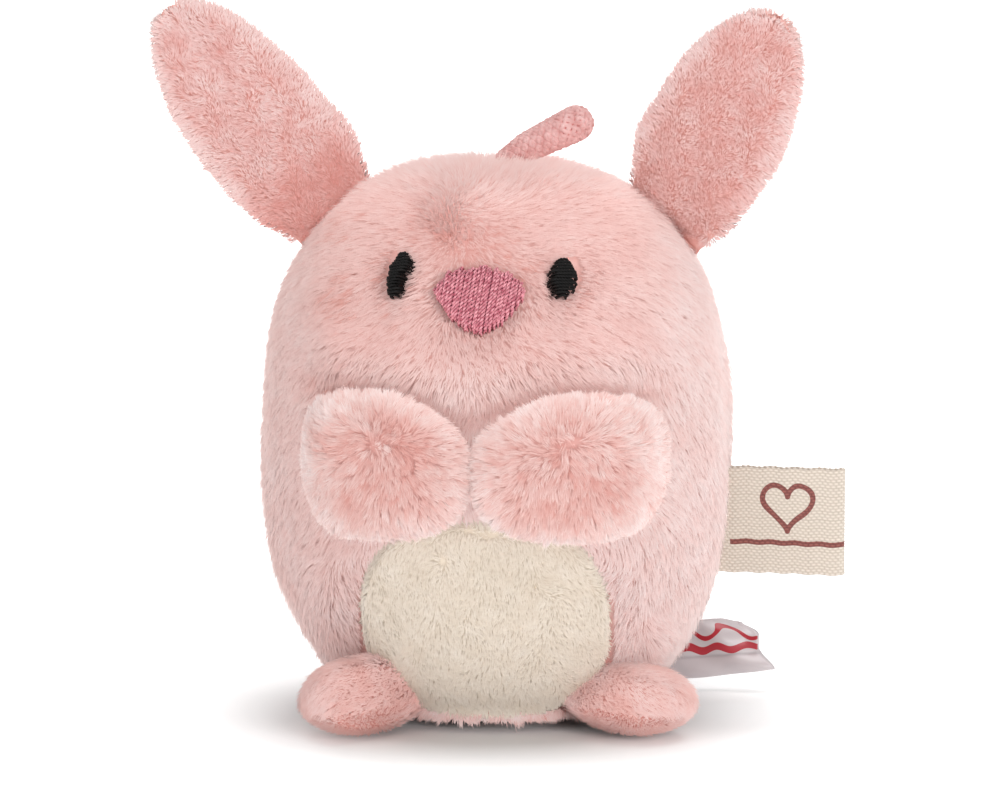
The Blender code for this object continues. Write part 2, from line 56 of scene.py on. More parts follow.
PATCH = (0.2, 11.4, 12.9, 11.0, 2.6)  # x, z, half width, half height, roundness
NOSE = (0.0, 43.9, 4.7, 3.05, 2.3)
EYES = {"left": (8.05, 45.85, 1.22, 1.75, 2.2), "right": (-8.15, 46.0, 1.05, 2.1, 2.2)}
SIGNS = {"left": 1, "right": -1}


def unit(v):
    return v / np.maximum(np.linalg.norm(v, axis=-1, keepdims=True), 1e-12)


def spow(value, power):
    return np.sign(value) * np.abs(value) ** power


def smooth(t):
    t = np.clip(t, 0, 1)
    return t * t * (3 - 2 * t)


def bump(value, centre, width):
    return np.exp(-(((value - centre) / width) ** 2))


def vectors(x, y, z):
    return np.stack([x, y, z], -1)


def everywhere(points):
    return np.ones(len(points), bool)


def noise(points, wavelength, seed, waves=9):
    """Smooth noise of about unit size."""
    rng = np.random.default_rng(seed)
    total = np.zeros(len(points))
    for _ in range(waves):
        k = unit(rng.normal(size=3)) * 2 * math.pi / (wavelength * rng.uniform(0.7, 1.5))
        total += np.sin(points @ k + rng.uniform(0, 2 * math.pi))
    return total / math.sqrt(waves / 2)


# The body's surface


def share(z):
    rise = np.where(z > WAIST_Z, (z - WAIST_Z) / TOP_RISE, (WAIST_Z - z) / LOW_DROP)
    return np.maximum(0, 1 - np.minimum(rise, 1) ** ROUND) ** (1 / ROUND)


def body_normal(p):
    reach = np.where(p[..., 2] < WAIST_Z, LOW_DROP, TOP_RISE)
    rise = (p[..., 2] - WAIST_Z) / reach
    flat = np.hypot(p[..., 0] / HALF_WIDTH, p[..., 1] / HALF_DEPTH)
    slope = np.maximum(flat, 1e-9) ** (ROUND - 2)
    across, deep = slope * p[..., 0] / HALF_WIDTH**2, slope * p[..., 1] / HALF_DEPTH**2
    return unit(vectors(across, deep, spow(rise, ROUND - 1) / reach))


def around(turn, z):
    s = share(z)
    return vectors(HALF_WIDTH * s * np.cos(turn), HALF_DEPTH * s * np.sin(turn), z + 0 * turn)


def on_front(x, z, lift=0.0):
    across = np.maximum(share(z) ** 2 - (x / HALF_WIDTH) ** 2, 0)
    p = vectors(x + 0 * z, -HALF_DEPTH * np.sqrt(across), z + 0 * x)
    return p + body_normal(p) * np.asarray(lift)[..., None]


def rounded(a, b, power):
    """A distance whose circles are superellipses."""
    return (np.abs(a) ** power + np.abs(b) ** power) ** (1 / power)


def inside(x, z, shape):
    """Below 1 inside an outline on the front, 1 on its edge."""
    cx, cz, half_x, half_z, power = shape
    return rounded((x - cx) / half_x, (z - cz) / half_z, power)


def nose_narrowing(z):
    """The nose narrows towards its low end."""
    return 0.37 * np.maximum(0, 0.35 * NOSE[3] - (z - NOSE[1])) / NOSE[3]


def inside_nose(x, z):
    return inside(x / (1 - nose_narrowing(z)), z, NOSE)


# Meshes


def grid_quads(index, turn=1):
    """The quads between the points of a grid; turn -1 faces them the other way."""
    corners = [index[:-1, :-1], index[:-1, 1:], index[1:, 1:], index[1:, :-1]][::turn]
    return np.stack(corners, -1).reshape(-1, 4)


def face_crosses(points, faces):
    a, b, c = (points[faces[:, k]] for k in range(3))
    return np.cross(b - a, c - a)


class Sheet:
    """A surface of quads, with its outward normals."""

    def __init__(self, grid, toward, wrap=False):
        rows, cols = grid.shape[:2]
        self.points = grid.reshape(-1, 3)
        index = np.arange(rows * cols).reshape(rows, cols)
        if wrap:
            index = np.concatenate([index, index[:, :1]], 1)
        self.quads = grid_quads(index)
        self.measure()
        if np.sum(self.normals * np.asarray(toward)) < 0:
            self.quads = self.quads[:, ::-1]
            self.measure()

    def measure(self):
        p, q = self.points, self.quads
        self.tris = np.concatenate([q[:, [0, 1, 2]], q[:, [0, 2, 3]]], 1).reshape(-1, 3)
        cross = face_crosses(p, self.tris)
        self.areas = np.linalg.norm(cross, axis=1) / 2
        normals = np.zeros_like(p)
        for k in range(3):
            np.add.at(normals, self.tris[:, k], cross)
        self.normals = unit(normals)

    def scatter(self, per_mm2, seed):
        """Evenly spread random points on the sheet, with normals."""
        rng = np.random.default_rng(seed)
        total = self.areas.sum()
        count = int(total * per_mm2)
        at = (np.arange(count) + rng.uniform(size=count)) * total / count
        tri = np.minimum(np.searchsorted(np.cumsum(self.areas), at), len(self.areas) - 1)
        u, v = rng.uniform(size=(2, count))
        over = u + v > 1
        u[over], v[over] = 1 - u[over], 1 - v[over]
        w = np.stack([1 - u - v, u, v], 1)
        points = np.einsum("nk,nkd->nd", w, self.points[self.tris[tri]])
        normals = np.einsum("nk,nkd->nd", w, self.normals[self.tris[tri]])
        return points, unit(normals)


def place_object(name, data):
    obj = bpy.data.objects.new(name, data)
    bpy.context.scene.collection.objects.link(obj)
    return obj


def mesh_object(name, points, faces, material, normals=None, uvs=None):
    """points in mm; faces (n, 3) or (n, 4)."""
    sides = faces.shape[1]
    mesh = bpy.data.meshes.new(name)
    mesh.vertices.add(len(points))
    mesh.vertices.foreach_set("co", (points * MM).astype(np.float32).ravel())
    mesh.loops.add(faces.size)
    mesh.loops.foreach_set("vertex_index", faces.astype(np.int32).ravel())
    mesh.polygons.add(len(faces))
    mesh.polygons.foreach_set("loop_start", np.arange(0, faces.size, sides, dtype=np.int32))
    mesh.update(calc_edges=True)
    mesh.shade_smooth()
    if uvs is not None:
        layer = mesh.uv_layers.new(name="OFBake")
        layer.data.foreach_set("uv", uvs[faces.ravel()].astype(np.float32).ravel())
    if normals is not None:
        mesh.normals_split_custom_set_from_vertices(normals)
    mesh.materials.append(material)
    return place_object(name, mesh)


def shell(name, sheet, thickness, material):
    """A sheet as a closed cloth of some thickness."""
    count = len(sheet.points)
    points = np.concatenate([sheet.points, sheet.points - sheet.normals * thickness])
    edges = np.concatenate([sheet.quads[:, [k, (k + 1) % 4]] for k in range(4)])
    key = np.sort(edges, 1)
    _, first, times = np.unique(key, axis=0, return_index=True, return_counts=True)
    rim = edges[first[times == 1]]
    sides = np.stack([rim[:, 1], rim[:, 0], rim[:, 0] + count, rim[:, 1] + count], 1)
    faces = np.concatenate([sheet.quads, sheet.quads[:, ::-1] + count, sides])
    return mesh_object(name, points, faces, material)


def path_frame(path, reference):
    """The way ahead at each point of a path, and two directions across it."""
    ahead = unit(np.gradient(path, axis=0))
    one = unit(np.cross(ahead, reference))
    return ahead, one, np.cross(ahead, one)


def path_run(path):
    """How far along a path each of its points is."""
    return np.concatenate([[0], np.cumsum(np.linalg.norm(np.diff(path, axis=0), axis=1))])


def about_path(one, two, angle):
    return one * np.cos(angle)[:, None] + two * np.sin(angle)[:, None]


def tube_faces(n, sides):
    """The walls and both caps of a tube of n rings, whose last two points are the middles of the caps."""
    k = np.arange(sides)
    after = (k + 1) % sides
    i = (np.arange(n - 1) * sides)[:, None]
    a, b, c, d = i + k, i + after, i + sides + after, i + sides + k
    walls = [vectors(a, b, c).reshape(-1, 3), vectors(a, c, d).reshape(-1, 3)]
    last = (n - 1) * sides
    caps = [vectors(after, k, k * 0 + n * sides), vectors(last + k, last + after, k * 0 + n * sides + 1)]
    return np.concatenate(walls + caps)


def tubes(name, paths, radius, material, sides=6):
    """Closed round threads along paths, all in one mesh. radius is one number, or a list of one a path."""
    points, faces = [], []
    start = 0
    turns = np.arange(sides) * 2 * math.pi / sides
    for number, path in enumerate(paths):
        r = np.broadcast_to(radius[number] if isinstance(radius, list) else radius, len(path))
        ahead, one, two = path_frame(path, [0.31, 0.87, 0.38])
        ring = one[:, None] * np.cos(turns)[None, :, None] + two[:, None] * np.sin(turns)[None, :, None]
        body = path[:, None] + ring * r[:, None, None]
        ends = [path[:1] - ahead[:1] * r[0] * 0.5, path[-1:] + ahead[-1:] * r[-1] * 0.5]
        points.append(np.concatenate([body.reshape(-1, 3)] + ends))
        faces.append(tube_faces(len(path), sides) + start)
        start += len(points[-1])
    return mesh_object(name, np.concatenate(points), np.concatenate(faces), material)


# Padded pouches

SIM_SCALE = 0.02  # metres of simulated cloth to a millimetre of toy
SIM_FRAMES = 20


def pouch_mesh(front, back):
    """Two grids of points sewn along their edges: points, quads and which points are on the seam."""
    rows, cols = front.shape[:2]
    seam = np.zeros((rows, cols), bool)
    seam[[0, -1]] = seam[:, [0, -1]] = True
    front_index = np.arange(rows * cols).reshape(rows, cols)
    back_index = front_index.copy()
    back_index[~seam] = rows * cols + np.arange((~seam).sum())
    middle = np.where(seam[..., None], (front + back) / 2, front)
    points = np.concatenate([middle.reshape(-1, 3), back[~seam]])
    quads = np.concatenate([grid_quads(front_index), grid_quads(back_index, -1)])
    return points, quads, seam, front_index, back_index


def stuff(front, back, toward, pressure=4.0, cap=1.0, bending=0.3):
    """Fills a sewn pouch: a cloth simulation under pressure, held at its seam. Gives back both grids."""
    points, quads, seam, front_index, back_index = pouch_mesh(front, back)
    if np.sum(face_crosses(points, quads[: len(quads) // 2]) * toward) < 0:
        quads = quads[:, ::-1]
    middle = points.mean(0)
    mesh = bpy.data.meshes.new("stuffing")
    mesh.from_pydata(((points - middle) * SIM_SCALE).tolist(), [], quads.tolist())
    obj = place_object("stuffing", mesh)
    held = obj.vertex_groups.new(name="seam")
    held.add([int(k) for k in front_index[seam]], 1.0, "ADD")
    cloth = obj.modifiers.new("cloth", "CLOTH")
    settings = cloth.settings
    settings.quality = 4
    settings.mass = 0.25
    settings.tension_stiffness = settings.compression_stiffness = 12
    settings.shear_stiffness = 6
    settings.bending_stiffness = bending
    settings.use_pressure = True
    settings.uniform_pressure_force = pressure
    settings.effector_weights.gravity = 0
    settings.vertex_group_mass = "seam"
    cloth.point_cache.frame_start, cloth.point_cache.frame_end = 1, SIM_FRAMES
    for number in range(1, SIM_FRAMES + 1):
        bpy.context.scene.frame_set(number)
    shaped = obj.evaluated_get(bpy.context.evaluated_depsgraph_get()).to_mesh()
    out = np.empty(len(points) * 3, np.float32)
    shaped.vertices.foreach_get("co", out)
    moved = out.reshape(-1, 3).astype(float) / SIM_SCALE + middle - points
    bpy.data.objects.remove(obj)
    bpy.data.meshes.remove(mesh)
    bpy.context.scene.frame_set(1)
    far = np.linalg.norm(moved, axis=1, keepdims=True)
    points = points + moved * np.minimum(1, cap / np.maximum(far, 1e-9))
    return points[front_index], points[back_index]


def lump(name, front, back, material, keep=0.82):
    """The filling inside a pouch."""
    points, quads, *_ = pouch_mesh(front, back)
    middle = points.mean(0)
    points = middle + (points - middle) * keep
    if np.sum(face_crosses(points, quads) * (points[quads[:, 0]] - middle)) < 0:
        quads = quads[:, ::-1]
    return mesh_object(name, points, quads, material)


# Pile

TUFT_FACES = np.array([[0, 2, 1], [0, 3, 2], [0, 1, 3], [1, 2, 4], [2, 3, 4], [3, 1, 4]])


def grow(name, roots, normals, flow, material, length, lean=(25, 62), width=0.06, spread=0.25,
         clump=0.12, pull=0.5, tone=0.5, tone_spread=0.055, clump_tone=0.065, soft=0.93, facing=None,
         seed=1):
    """Fine tufts of pile, thickest at their bend, gathered in locks. flow is the way the tips point.

    length, both leans (degrees from the normal) and tone may be one number or one a tuft. clump is the
    share of tufts that lead a lock, pull how far the others lean to it. soft is how much a tuft's sides
    are lit as the pile's face is, and facing turns that light.
    """
    rng = np.random.default_rng(seed)
    n = len(roots)
    flow = unit(flow - normals * np.sum(flow * normals, 1, keepdims=True))
    side = np.cross(normals, flow)
    turn = rng.normal(0, spread, n)[:, None]
    way = flow * np.cos(turn) + side * np.sin(turn)
    long = (length * (1 + rng.normal(0, 0.13, n)).clip(0.6, 1.5))[:, None]
    wobble = rng.normal(0, 6, n)
    low, high = (np.radians(np.clip(np.broadcast_to(a, n) + wobble, 0, 86))[:, None] for a in lean)
    mid = roots + (normals * np.cos(low) + way * np.sin(low)) * long * 0.45
    tip = mid + (normals * np.cos(high) + way * np.sin(high)) * long * 0.55
    leaders = np.sort(rng.permutation(n)[: max(1, int(n * clump))])
    tree = kdtree.KDTree(len(leaders))
    for k, leader in enumerate(leaders):
        tree.insert(roots[leader], k)
    tree.balance()
    lock = np.array([tree.find(p)[1] for p in roots])
    lead = leaders[lock]
    grip = (pull * rng.uniform(0.5, 1.0, n))[:, None]
    tip = tip + (tip[lead] - tip) * grip
    mid = mid + (mid[lead] - mid) * grip * 0.45
    shade = tone + rng.normal(0, tone_spread, n) + rng.normal(0, clump_tone, len(leaders))[lock]
    shade = np.clip(shade, 0.02, 0.98)
    base = roots - normals * 0.15
    first, last = unit(mid - base), unit(tip - mid)
    run = unit(first + last)
    across = unit(np.cross(run, normals) + 1e-6 * side)
    rise = np.cross(run, across)
    rise *= np.sign(np.sum(rise * normals, 1, keepdims=True) + 1e-9)
    w = (width * (1 + rng.normal(0, 0.2, n)).clip(0.5, 1.6))[:, None]
    points = np.stack([base, mid - across * w, mid + across * w, mid + rise * w * 0.8, tip], 1)
    backward = np.sum(np.cross(across, rise) * run, 1) < 0
    points[backward] = points[backward][:, [0, 2, 1, 3, 4]]
    aside = across * np.where(backward, -1, 1)[:, None] * (1 - soft)
    if facing is not None:  # pile round an edge catches the light of the side it stands out from
        normals = unit(normals + np.asarray(facing))
    lit = [normals, unit(normals * soft - aside), unit(normals * soft + aside), normals]
    lit.append(unit(normals * soft + last * (1 - soft)))
    points[..., 2] = np.maximum(points[..., 2], FLOOR_CLEAR + 0.02 * (np.arange(5) > 2))
    level = np.array([0.02, 0.5, 0.5, 0.5, 0.98])
    spot = np.array([0, -0.004, 0.004, 0, 0])
    uvs = np.stack([shade[:, None] + spot, np.broadcast_to(level, (n, 5))], -1).reshape(-1, 2)
    faces = (TUFT_FACES[None] + 5 * np.arange(n)[:, None, None]).reshape(-1, 3)
    obj = mesh_object(name, points.reshape(-1, 3), faces, material, np.stack(lit, 1).reshape(-1, 3), uvs)
    obj.visible_shadow = False
    return obj


# Materials


def rgb(hexcode):
    """Linear colour from a usual six-digit code."""
    parts = [int(hexcode[k : k + 2], 16) / 255 for k in (0, 2, 4)]
    return tuple(c / 12.92 if c <= 0.04045 else ((c + 0.055) / 1.055) ** 2.4 for c in parts) + (1.0,)


def new_material(name):
    material = bpy.data.materials.new(name)
    material.use_nodes = True
    nodes = material.node_tree.nodes
    return material, nodes, material.node_tree.links, nodes["Principled BSDF"]


def ramp_node(nodes, stops):
    ramp = nodes.new("ShaderNodeValToRGB")
    elements = ramp.color_ramp.elements
    while len(elements) < len(stops):
        elements.new(0.5)
    for element, (place, colour) in zip(elements, stops):
        element.position = place
        element.color = rgb(colour)
    return ramp


def mix_colours(nodes, links, shader, factor, low, high):
    """The shader's colour goes from one ramp to another."""
    mix = nodes.new("ShaderNodeMix")
    mix.data_type = "RGBA"
    links.new(factor, mix.inputs["Factor"])
    links.new(low.outputs["Color"], mix.inputs[6])
    links.new(high.outputs["Color"], mix.inputs[7])
    links.new(mix.outputs[2], shader.inputs["Base Color"])


def pile_material(name, roots, tips):
    """Pile that is deep coloured at its roots and pale at its tips, the deep colour being painted shade deep
    in the pile. The map holds (tone, height).
    """
    material, nodes, links, shader = new_material(name)
    uv = nodes.new("ShaderNodeUVMap")
    uv.uv_map = "OFBake"
    split = nodes.new("ShaderNodeSeparateXYZ")
    links.new(uv.outputs["UV"], split.inputs[0])
    low, high = ramp_node(nodes, roots), ramp_node(nodes, tips)
    for ramp in (low, high):
        links.new(split.outputs["X"], ramp.inputs["Fac"])
    height = nodes.new("ShaderNodeMapRange")
    height.interpolation_type = "SMOOTHSTEP"
    height.inputs["From Min"].default_value, height.inputs["From Max"].default_value = 0.05, 0.85
    links.new(split.outputs["Y"], height.inputs["Value"])
    mix_colours(nodes, links, shader, height.outputs["Result"], low, high)
    shader.inputs["Roughness"].default_value = 0.9
    shader.inputs["Diffuse Roughness"].default_value = 0.6
    shader.inputs["Specular IOR Level"].default_value = 0.0  # seen edge on, a gloss would darken the tufts
    return material


def mottled_material(name, stops, scale, roughness, gloss, detail=2):
    """A surface whose colour varies a little from place to place."""
    material, nodes, links, shader = new_material(name)
    place = nodes.new("ShaderNodeTexCoord")
    texture = nodes.new("ShaderNodeTexNoise")
    texture.inputs["Scale"].default_value = scale
    texture.inputs["Detail"].default_value = detail
    links.new(place.outputs["Object"], texture.inputs["Vector"])
    ramp = ramp_node(nodes, stops)
    links.new(texture.outputs["Fac"], ramp.inputs["Fac"])
    links.new(ramp.outputs["Color"], shader.inputs["Base Color"])
    shader.inputs["Roughness"].default_value = roughness
    shader.inputs["Specular IOR Level"].default_value = gloss
    return material


def cloth_material(name, dark, light, scale=900, roughness=0.9):
    """The knitted backing and the filling."""
    return mottled_material(name, [(0.35, dark), (0.65, light)], scale, roughness, gloss=0.2)


def thread_material(name, dark, light, scale, roughness, sheen=0.0, gloss=0.5):
    material = mottled_material(name, [(0.3, dark), (0.7, light)], scale, roughness, gloss, detail=3)
    material.node_tree.nodes["Principled BSDF"].inputs["Sheen Weight"].default_value = sheen
    return material


# The roots' colours are painted shade deep in the pile. The deepest stop of the body's pile is painted shade,
# reached mainly in the crease over the arms.
BODY_PILE = pile_material(
    "body_pile",
    [(0.0, "d98d80"), (0.06, "dfaca4"), (0.5, "e6b9b2"), (1.0, "edcac4")],
    [(0.0, "e2a296"), (0.06, "ecc5bf"), (0.5, "f2d5d0"), (1.0, "f6e5e2")],
)
ARM_PILE = pile_material(
    "arm_pile",
    [(0.0, "dc998e"), (0.5, "e5b0a8"), (1.0, "eecbc5")],
    [(0.0, "e9b2a9"), (0.5, "f3d3cd"), (1.0, "faebe8")],
)
EAR_PILE = pile_material(
    "ear_pile",
    [(0.0, "dc978d"), (0.5, "e8b2aa"), (1.0, "efc6c0")],
    [(0.0, "e8a69d"), (0.5, "f1c6c1"), (1.0, "f7e0dd")],
)
FOOT_PILE = pile_material(
    "foot_pile",
    [(0.0, "e3a398"), (0.5, "ecb8af"), (1.0, "f1c7c0")],
    [(0.0, "edb6ad"), (0.5, "f5cdc6"), (1.0, "f9dfdb")],
)
CREAM_PILE = pile_material(
    "cream_pile",
    [(0.0, "e1d1be"), (0.5, "e8dac9"), (1.0, "eee2d3")],
    [(0.0, "e5d7c6"), (0.5, "eee3d5"), (1.0, "f6eee4")],
)
# The backings take the pile's root colours: painted shade between the tufts.
PINK_CLOTH = cloth_material("pink_backing", "e2aca4", "e9bbb4")
CREAM_CLOTH = cloth_material("cream_backing", "decebb", "e6d8c6")
EAR_CLOTH = cloth_material("ear_backing", "e1a096", "e8b0a7")
FIBRE = cloth_material("fibre_fill", "dedbd4", "f2f0ea", 700, 1.0)
PELLET_CLOTH = cloth_material("pellet_bag_cloth", "b9b4ab", "cfcac0", 1800, 0.9)
ROSE_THREAD = thread_material("rose_thread", "ac4a5e", "f0a9b3", 2600, 0.42)
ROSE_THREAD_SHADOW = thread_material("rose_thread_shadow", "9c4459", "ae5369", 1500, 0.7)
BLACK_THREAD = thread_material("black_thread", "060505", "100e0d", 1500, 0.6, gloss=0.22)
CORD_THREAD = thread_material("cord_thread", "c58a86", "e0b6b3", 1100, 0.75, 0.05)
CORD_CORE = thread_material("cord_core", "bb6a66", "c87974", 900, 0.9)


def label_material(name, plain, shaded, ink, ink_shaded, roughness):
    """A ribbon with a print, and painted shade from its plain to its shaded colours. Both follow values
    stored on the ribbon's own threads.
    """
    material, nodes, links, shader = new_material(name)
    read = {}
    for key in ("printed", "shade"):
        read[key] = nodes.new("ShaderNodeAttribute")
        read[key].attribute_name = key
    ground = ramp_node(nodes, [(0.0, shaded), (1.0, plain)])
    print_ramp = ramp_node(nodes, [(0.0, ink_shaded), (1.0, ink)])
    for ramp in (ground, print_ramp):
        links.new(read["shade"].outputs["Fac"], ramp.inputs["Fac"])
    edge = nodes.new("ShaderNodeMapRange")
    edge.inputs["From Min"].default_value, edge.inputs["From Max"].default_value = 0.4, 0.6
    links.new(read["printed"].outputs["Fac"], edge.inputs["Value"])
    mix_colours(nodes, links, shader, edge.outputs["Result"], ground, print_ramp)
    shader.inputs["Roughness"].default_value = roughness
    return material


FLAG_MATERIAL = label_material("flag_ribbon", "e9dfd3", "bfb1a2", "9c5b53", "6b3530", 0.6)
CARE_MATERIAL = label_material("care_ribbon", "cbc2c4", "a0979b", "b02633", "851f2a", 0.3)


# How a piece rides


def describe(nodes):
    if nodes:
        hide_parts(*nodes)


def fix(obj, slot, *nodes):
    """A piece that rides on the torso."""
    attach(obj, "torso")
    describe(nodes)


def bend(obj, hinge, slot, *nodes):
    """A piece whose place is baked into its mesh; the CAD nodes it stands for are hidden. hinge is (body,
    start, end) and is not used.
    """
    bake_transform(obj)
    describe(nodes)


# Body

BODY_CLOTH = 0.5  # thickness
CHIN_Z, BACK_SPLIT_Z = 37, 30  # where the pile is split into pieces


def front_lift(x, z):
    """The cloth dips under the patch, the embroidery and the crease over the arms."""
    lift = np.full(np.shape(x), SKIN)
    lift = lift - 0.6 * smooth((1.02 - inside(x, z, PATCH)) / 0.08)
    lift = lift - 0.35 * smooth((1.2 - inside_nose(x, z)) / 0.4)
    for eye in EYES.values():
        lift = lift - 0.3 * smooth((1.4 - inside(x, z, eye)) / 0.6)
    lift = lift - 0.6 * bump(z, crease_height(x), 1.2) * smooth((20.5 - np.abs(x)) / 5)
    lift = lift + 1.7 * bump(z, crease_height(x) + 2.7, 2.7) * smooth((19 - np.abs(x)) / 6)
    return lift


def crease_height(x):
    """The cheeks hang over the arms; the fold dips where the arms meet."""
    return 35.1 - 2.2 * bump(x, -1.8, 4.5)


def sag(p):
    """The front settles forward where it stands, between the feet."""
    low = smooth((3.4 - p[..., 2]) / 3.4)
    p = p.copy()
    p[..., 1] -= 2.2 * low * smooth((14.5 - np.abs(p[..., 0])) / 6) * (p[..., 1] < -2)
    return p


def body_heights(rows):
    low = -math.asin((WAIST_Z / LOW_DROP) ** (ROUND / 2))
    angle = low + (math.pi / 2 - 0.02 - low) * np.arange(rows + 1) / rows
    rise = spow(np.sin(angle), 2 / ROUND)
    return WAIST_Z + rise * np.where(rise > 0, TOP_RISE, LOW_DROP)


def body_sheet(start, end, columns, rows=76):
    turn, z = np.meshgrid(np.linspace(start, end, columns + 1), body_heights(rows))
    p = around(turn, z)
    lift = np.where(p[..., 1] < 0.01, front_lift(p[..., 0], p[..., 2]), SKIN)
    lift = lift - (0.3 - 0.2 * smooth((p[..., 2] - 46) / 6)) * bump(p[..., 1], 0, 0.7)
    lift = lift - np.where(p[..., 1] > 0, 0.5 * bump(p[..., 0], 0, 0.7), 0)
    lift = lift + 0.10 * noise(p.reshape(-1, 3), 11, 3).reshape(lift.shape)
    skin = p + body_normal(p) * lift[..., None]
    skin[..., 2] = np.maximum(skin[..., 2], 0.35)
    skin = sag(skin)
    middle = (start + end) / 2
    return Sheet(skin, (math.cos(middle), math.sin(middle), 0))


def from_parting(p):
    return p[:, 0] + 3.5 + 1.2 * noise(p, 10, 13)


def upright(p):
    """The pile stands up on the crown and along its parting."""
    crown = smooth((p[:, 2] - 49.5) / 5)
    parting = bump(from_parting(p), 0, 2.6) * smooth((p[:, 2] - 45.5) / 4)
    return np.maximum(crown, parting) * smooth((6 - p[:, 1]) / 5)


def face_flow(p):
    """The pile is brushed aside over the forehead, away from the nose, and down everywhere else."""
    x, z = p[:, 0], p[:, 2]
    front = p[:, 1] < 0
    aside = from_parting(p)
    above = smooth((z - 42) / 7)
    spread = np.tanh(aside / 4.5) * (0.35 + 1.2 * above) + 0.25 * np.tanh(aside / 9)
    cheeks = bump(z, 42, 5) * np.tanh(x / 5) * smooth((np.abs(x) - 2) / 6)
    down = -(1.0 - 0.84 * above)
    crown = smooth((z - 49.5) / 5)
    swirl = noise(p, 9, 11) * 0.28
    flow_x = spread * (1 - 0.3 * crown) + cheeks * 0.9 + swirl * 0.8
    flow_z = down + noise(p, 7, 12) * 0.2 - 0.9 * above * bump(aside, 0, 3.5)
    flow_y = np.where(front, -0.1, 0.1) - 0.3 * crown
    back = np.stack([np.tanh(x / 14) * 0.3 + swirl * 0.5, 0 * x, -np.ones(len(x))], 1)
    beside = smooth((1.28 - inside(x, z, PATCH)) / 0.2) * smooth((20 - z) / 3)
    flow_x = flow_x - 1.3 * beside * np.tanh(x / 4)
    flow_z = flow_z + 0.5 * beside
    low = smooth((2.6 - z) / 1.6)  # a fringe over the edge of the base
    flow_x, flow_y = flow_x * (1 - low) + low * x / 12, flow_y * (1 - low) - low
    flow_z = flow_z * (1 - low)
    forward = np.stack([flow_x, flow_y, flow_z], 1)
    blend = smooth((p[:, 1] + 2.0) / 7)[:, None]
    return forward * (1 - blend) + back * blend


def plant(name, sheet, keep, flow_of, material, per_mm2, seed, **looks):
    """Pile over the part of a sheet where keep(points) is true. A look may be a function of the roots
    and their normals, and a lean one of the roots.
    """
    roots, normals = sheet.scatter(per_mm2, seed)
    chosen = keep(roots)
    roots, normals = roots[chosen], normals[chosen]
    for key, value in looks.items():
        if callable(value):
            looks[key] = value(roots, normals)
    lean = looks.get("lean")
    if isinstance(lean, tuple):
        looks["lean"] = tuple(a(roots) if callable(a) else a for a in lean)
    return grow(name, roots, normals, flow_of(roots), material, seed=seed + 1, **looks)


def off_face(p):
    x, z = p[:, 0], p[:, 2]
    clear = (inside(x, z, PATCH) > 0.985) & (inside_nose(x, z) > 0.94)
    for eye in EYES.values():
        clear &= inside(x, z, eye) > 0.92
    clear &= (z > 0.9) | (np.abs(x) > 13.5)  # the fringe grows there
    return clear | (p[:, 1] > 0)


def body_length(p, normals):
    """Shorter round the embroidery and the patch, where the stitching holds the pile down."""
    x, z = p[:, 0], p[:, 2]
    near = smooth((1.9 - inside_nose(x, z)) / 0.9)
    for eye in EYES.values():
        near = np.maximum(near, smooth((2.2 - inside(x, z, eye)) / 1.1))
    near = np.where(p[:, 1] < 0, near, 0)
    edge = np.where(p[:, 1] < 0, smooth((1.12 - inside(x, z, PATCH)) / 0.12), 0)
    low = smooth((3.0 - z) / 3)
    return 2.0 * (1 - 0.38 * near) * (1 - 0.3 * edge) * (1 - 0.35 * low)


def body_tone(p, normals):
    front = p[:, 1] < 0
    face = front * smooth((p[:, 2] - 36) / 4) * smooth((19 - np.abs(p[:, 0])) / 6)
    shade = 0.66 - 0.36 * face + 0.045 * noise(p, 6, 21) + 0.035 * noise(p, 2.2, 22)
    # Painted light: darker towards -x and lighter towards +x, the side the key lamp falls from.
    shade = shade - 0.14 * smooth((-p[:, 0] - 6) / 10) * (p[:, 1] < 6) + 0.10 * smooth((p[:, 0] - 9) / 6)
    # Painted shade over the middle of the forehead.
    shade = shade - 0.09 * front * bump(p[:, 0], 0, 16) * bump(p[:, 2], 48, 5)
    # Painted shade: darker in the crease over the arms.
    crease = bump(p[:, 2], crease_height(p[:, 0]), 1.5) * smooth((19 - np.abs(p[:, 0])) / 4) * front
    # Painted light: paler on the crown.
    crown = smooth((p[:, 2] - 49) / 5)
    return shade - 0.40 * crease + 0.30 * crown


def body_facing(p, normals):
    """Round the crown the pile catches the light of the side it stands up on."""
    crown = smooth((p[:, 2] - 48.5) / 5) * smooth((4 - p[:, 1]) / 4)
    return np.stack([0 * crown, -0.7 * crown, 0 * crown], 1)


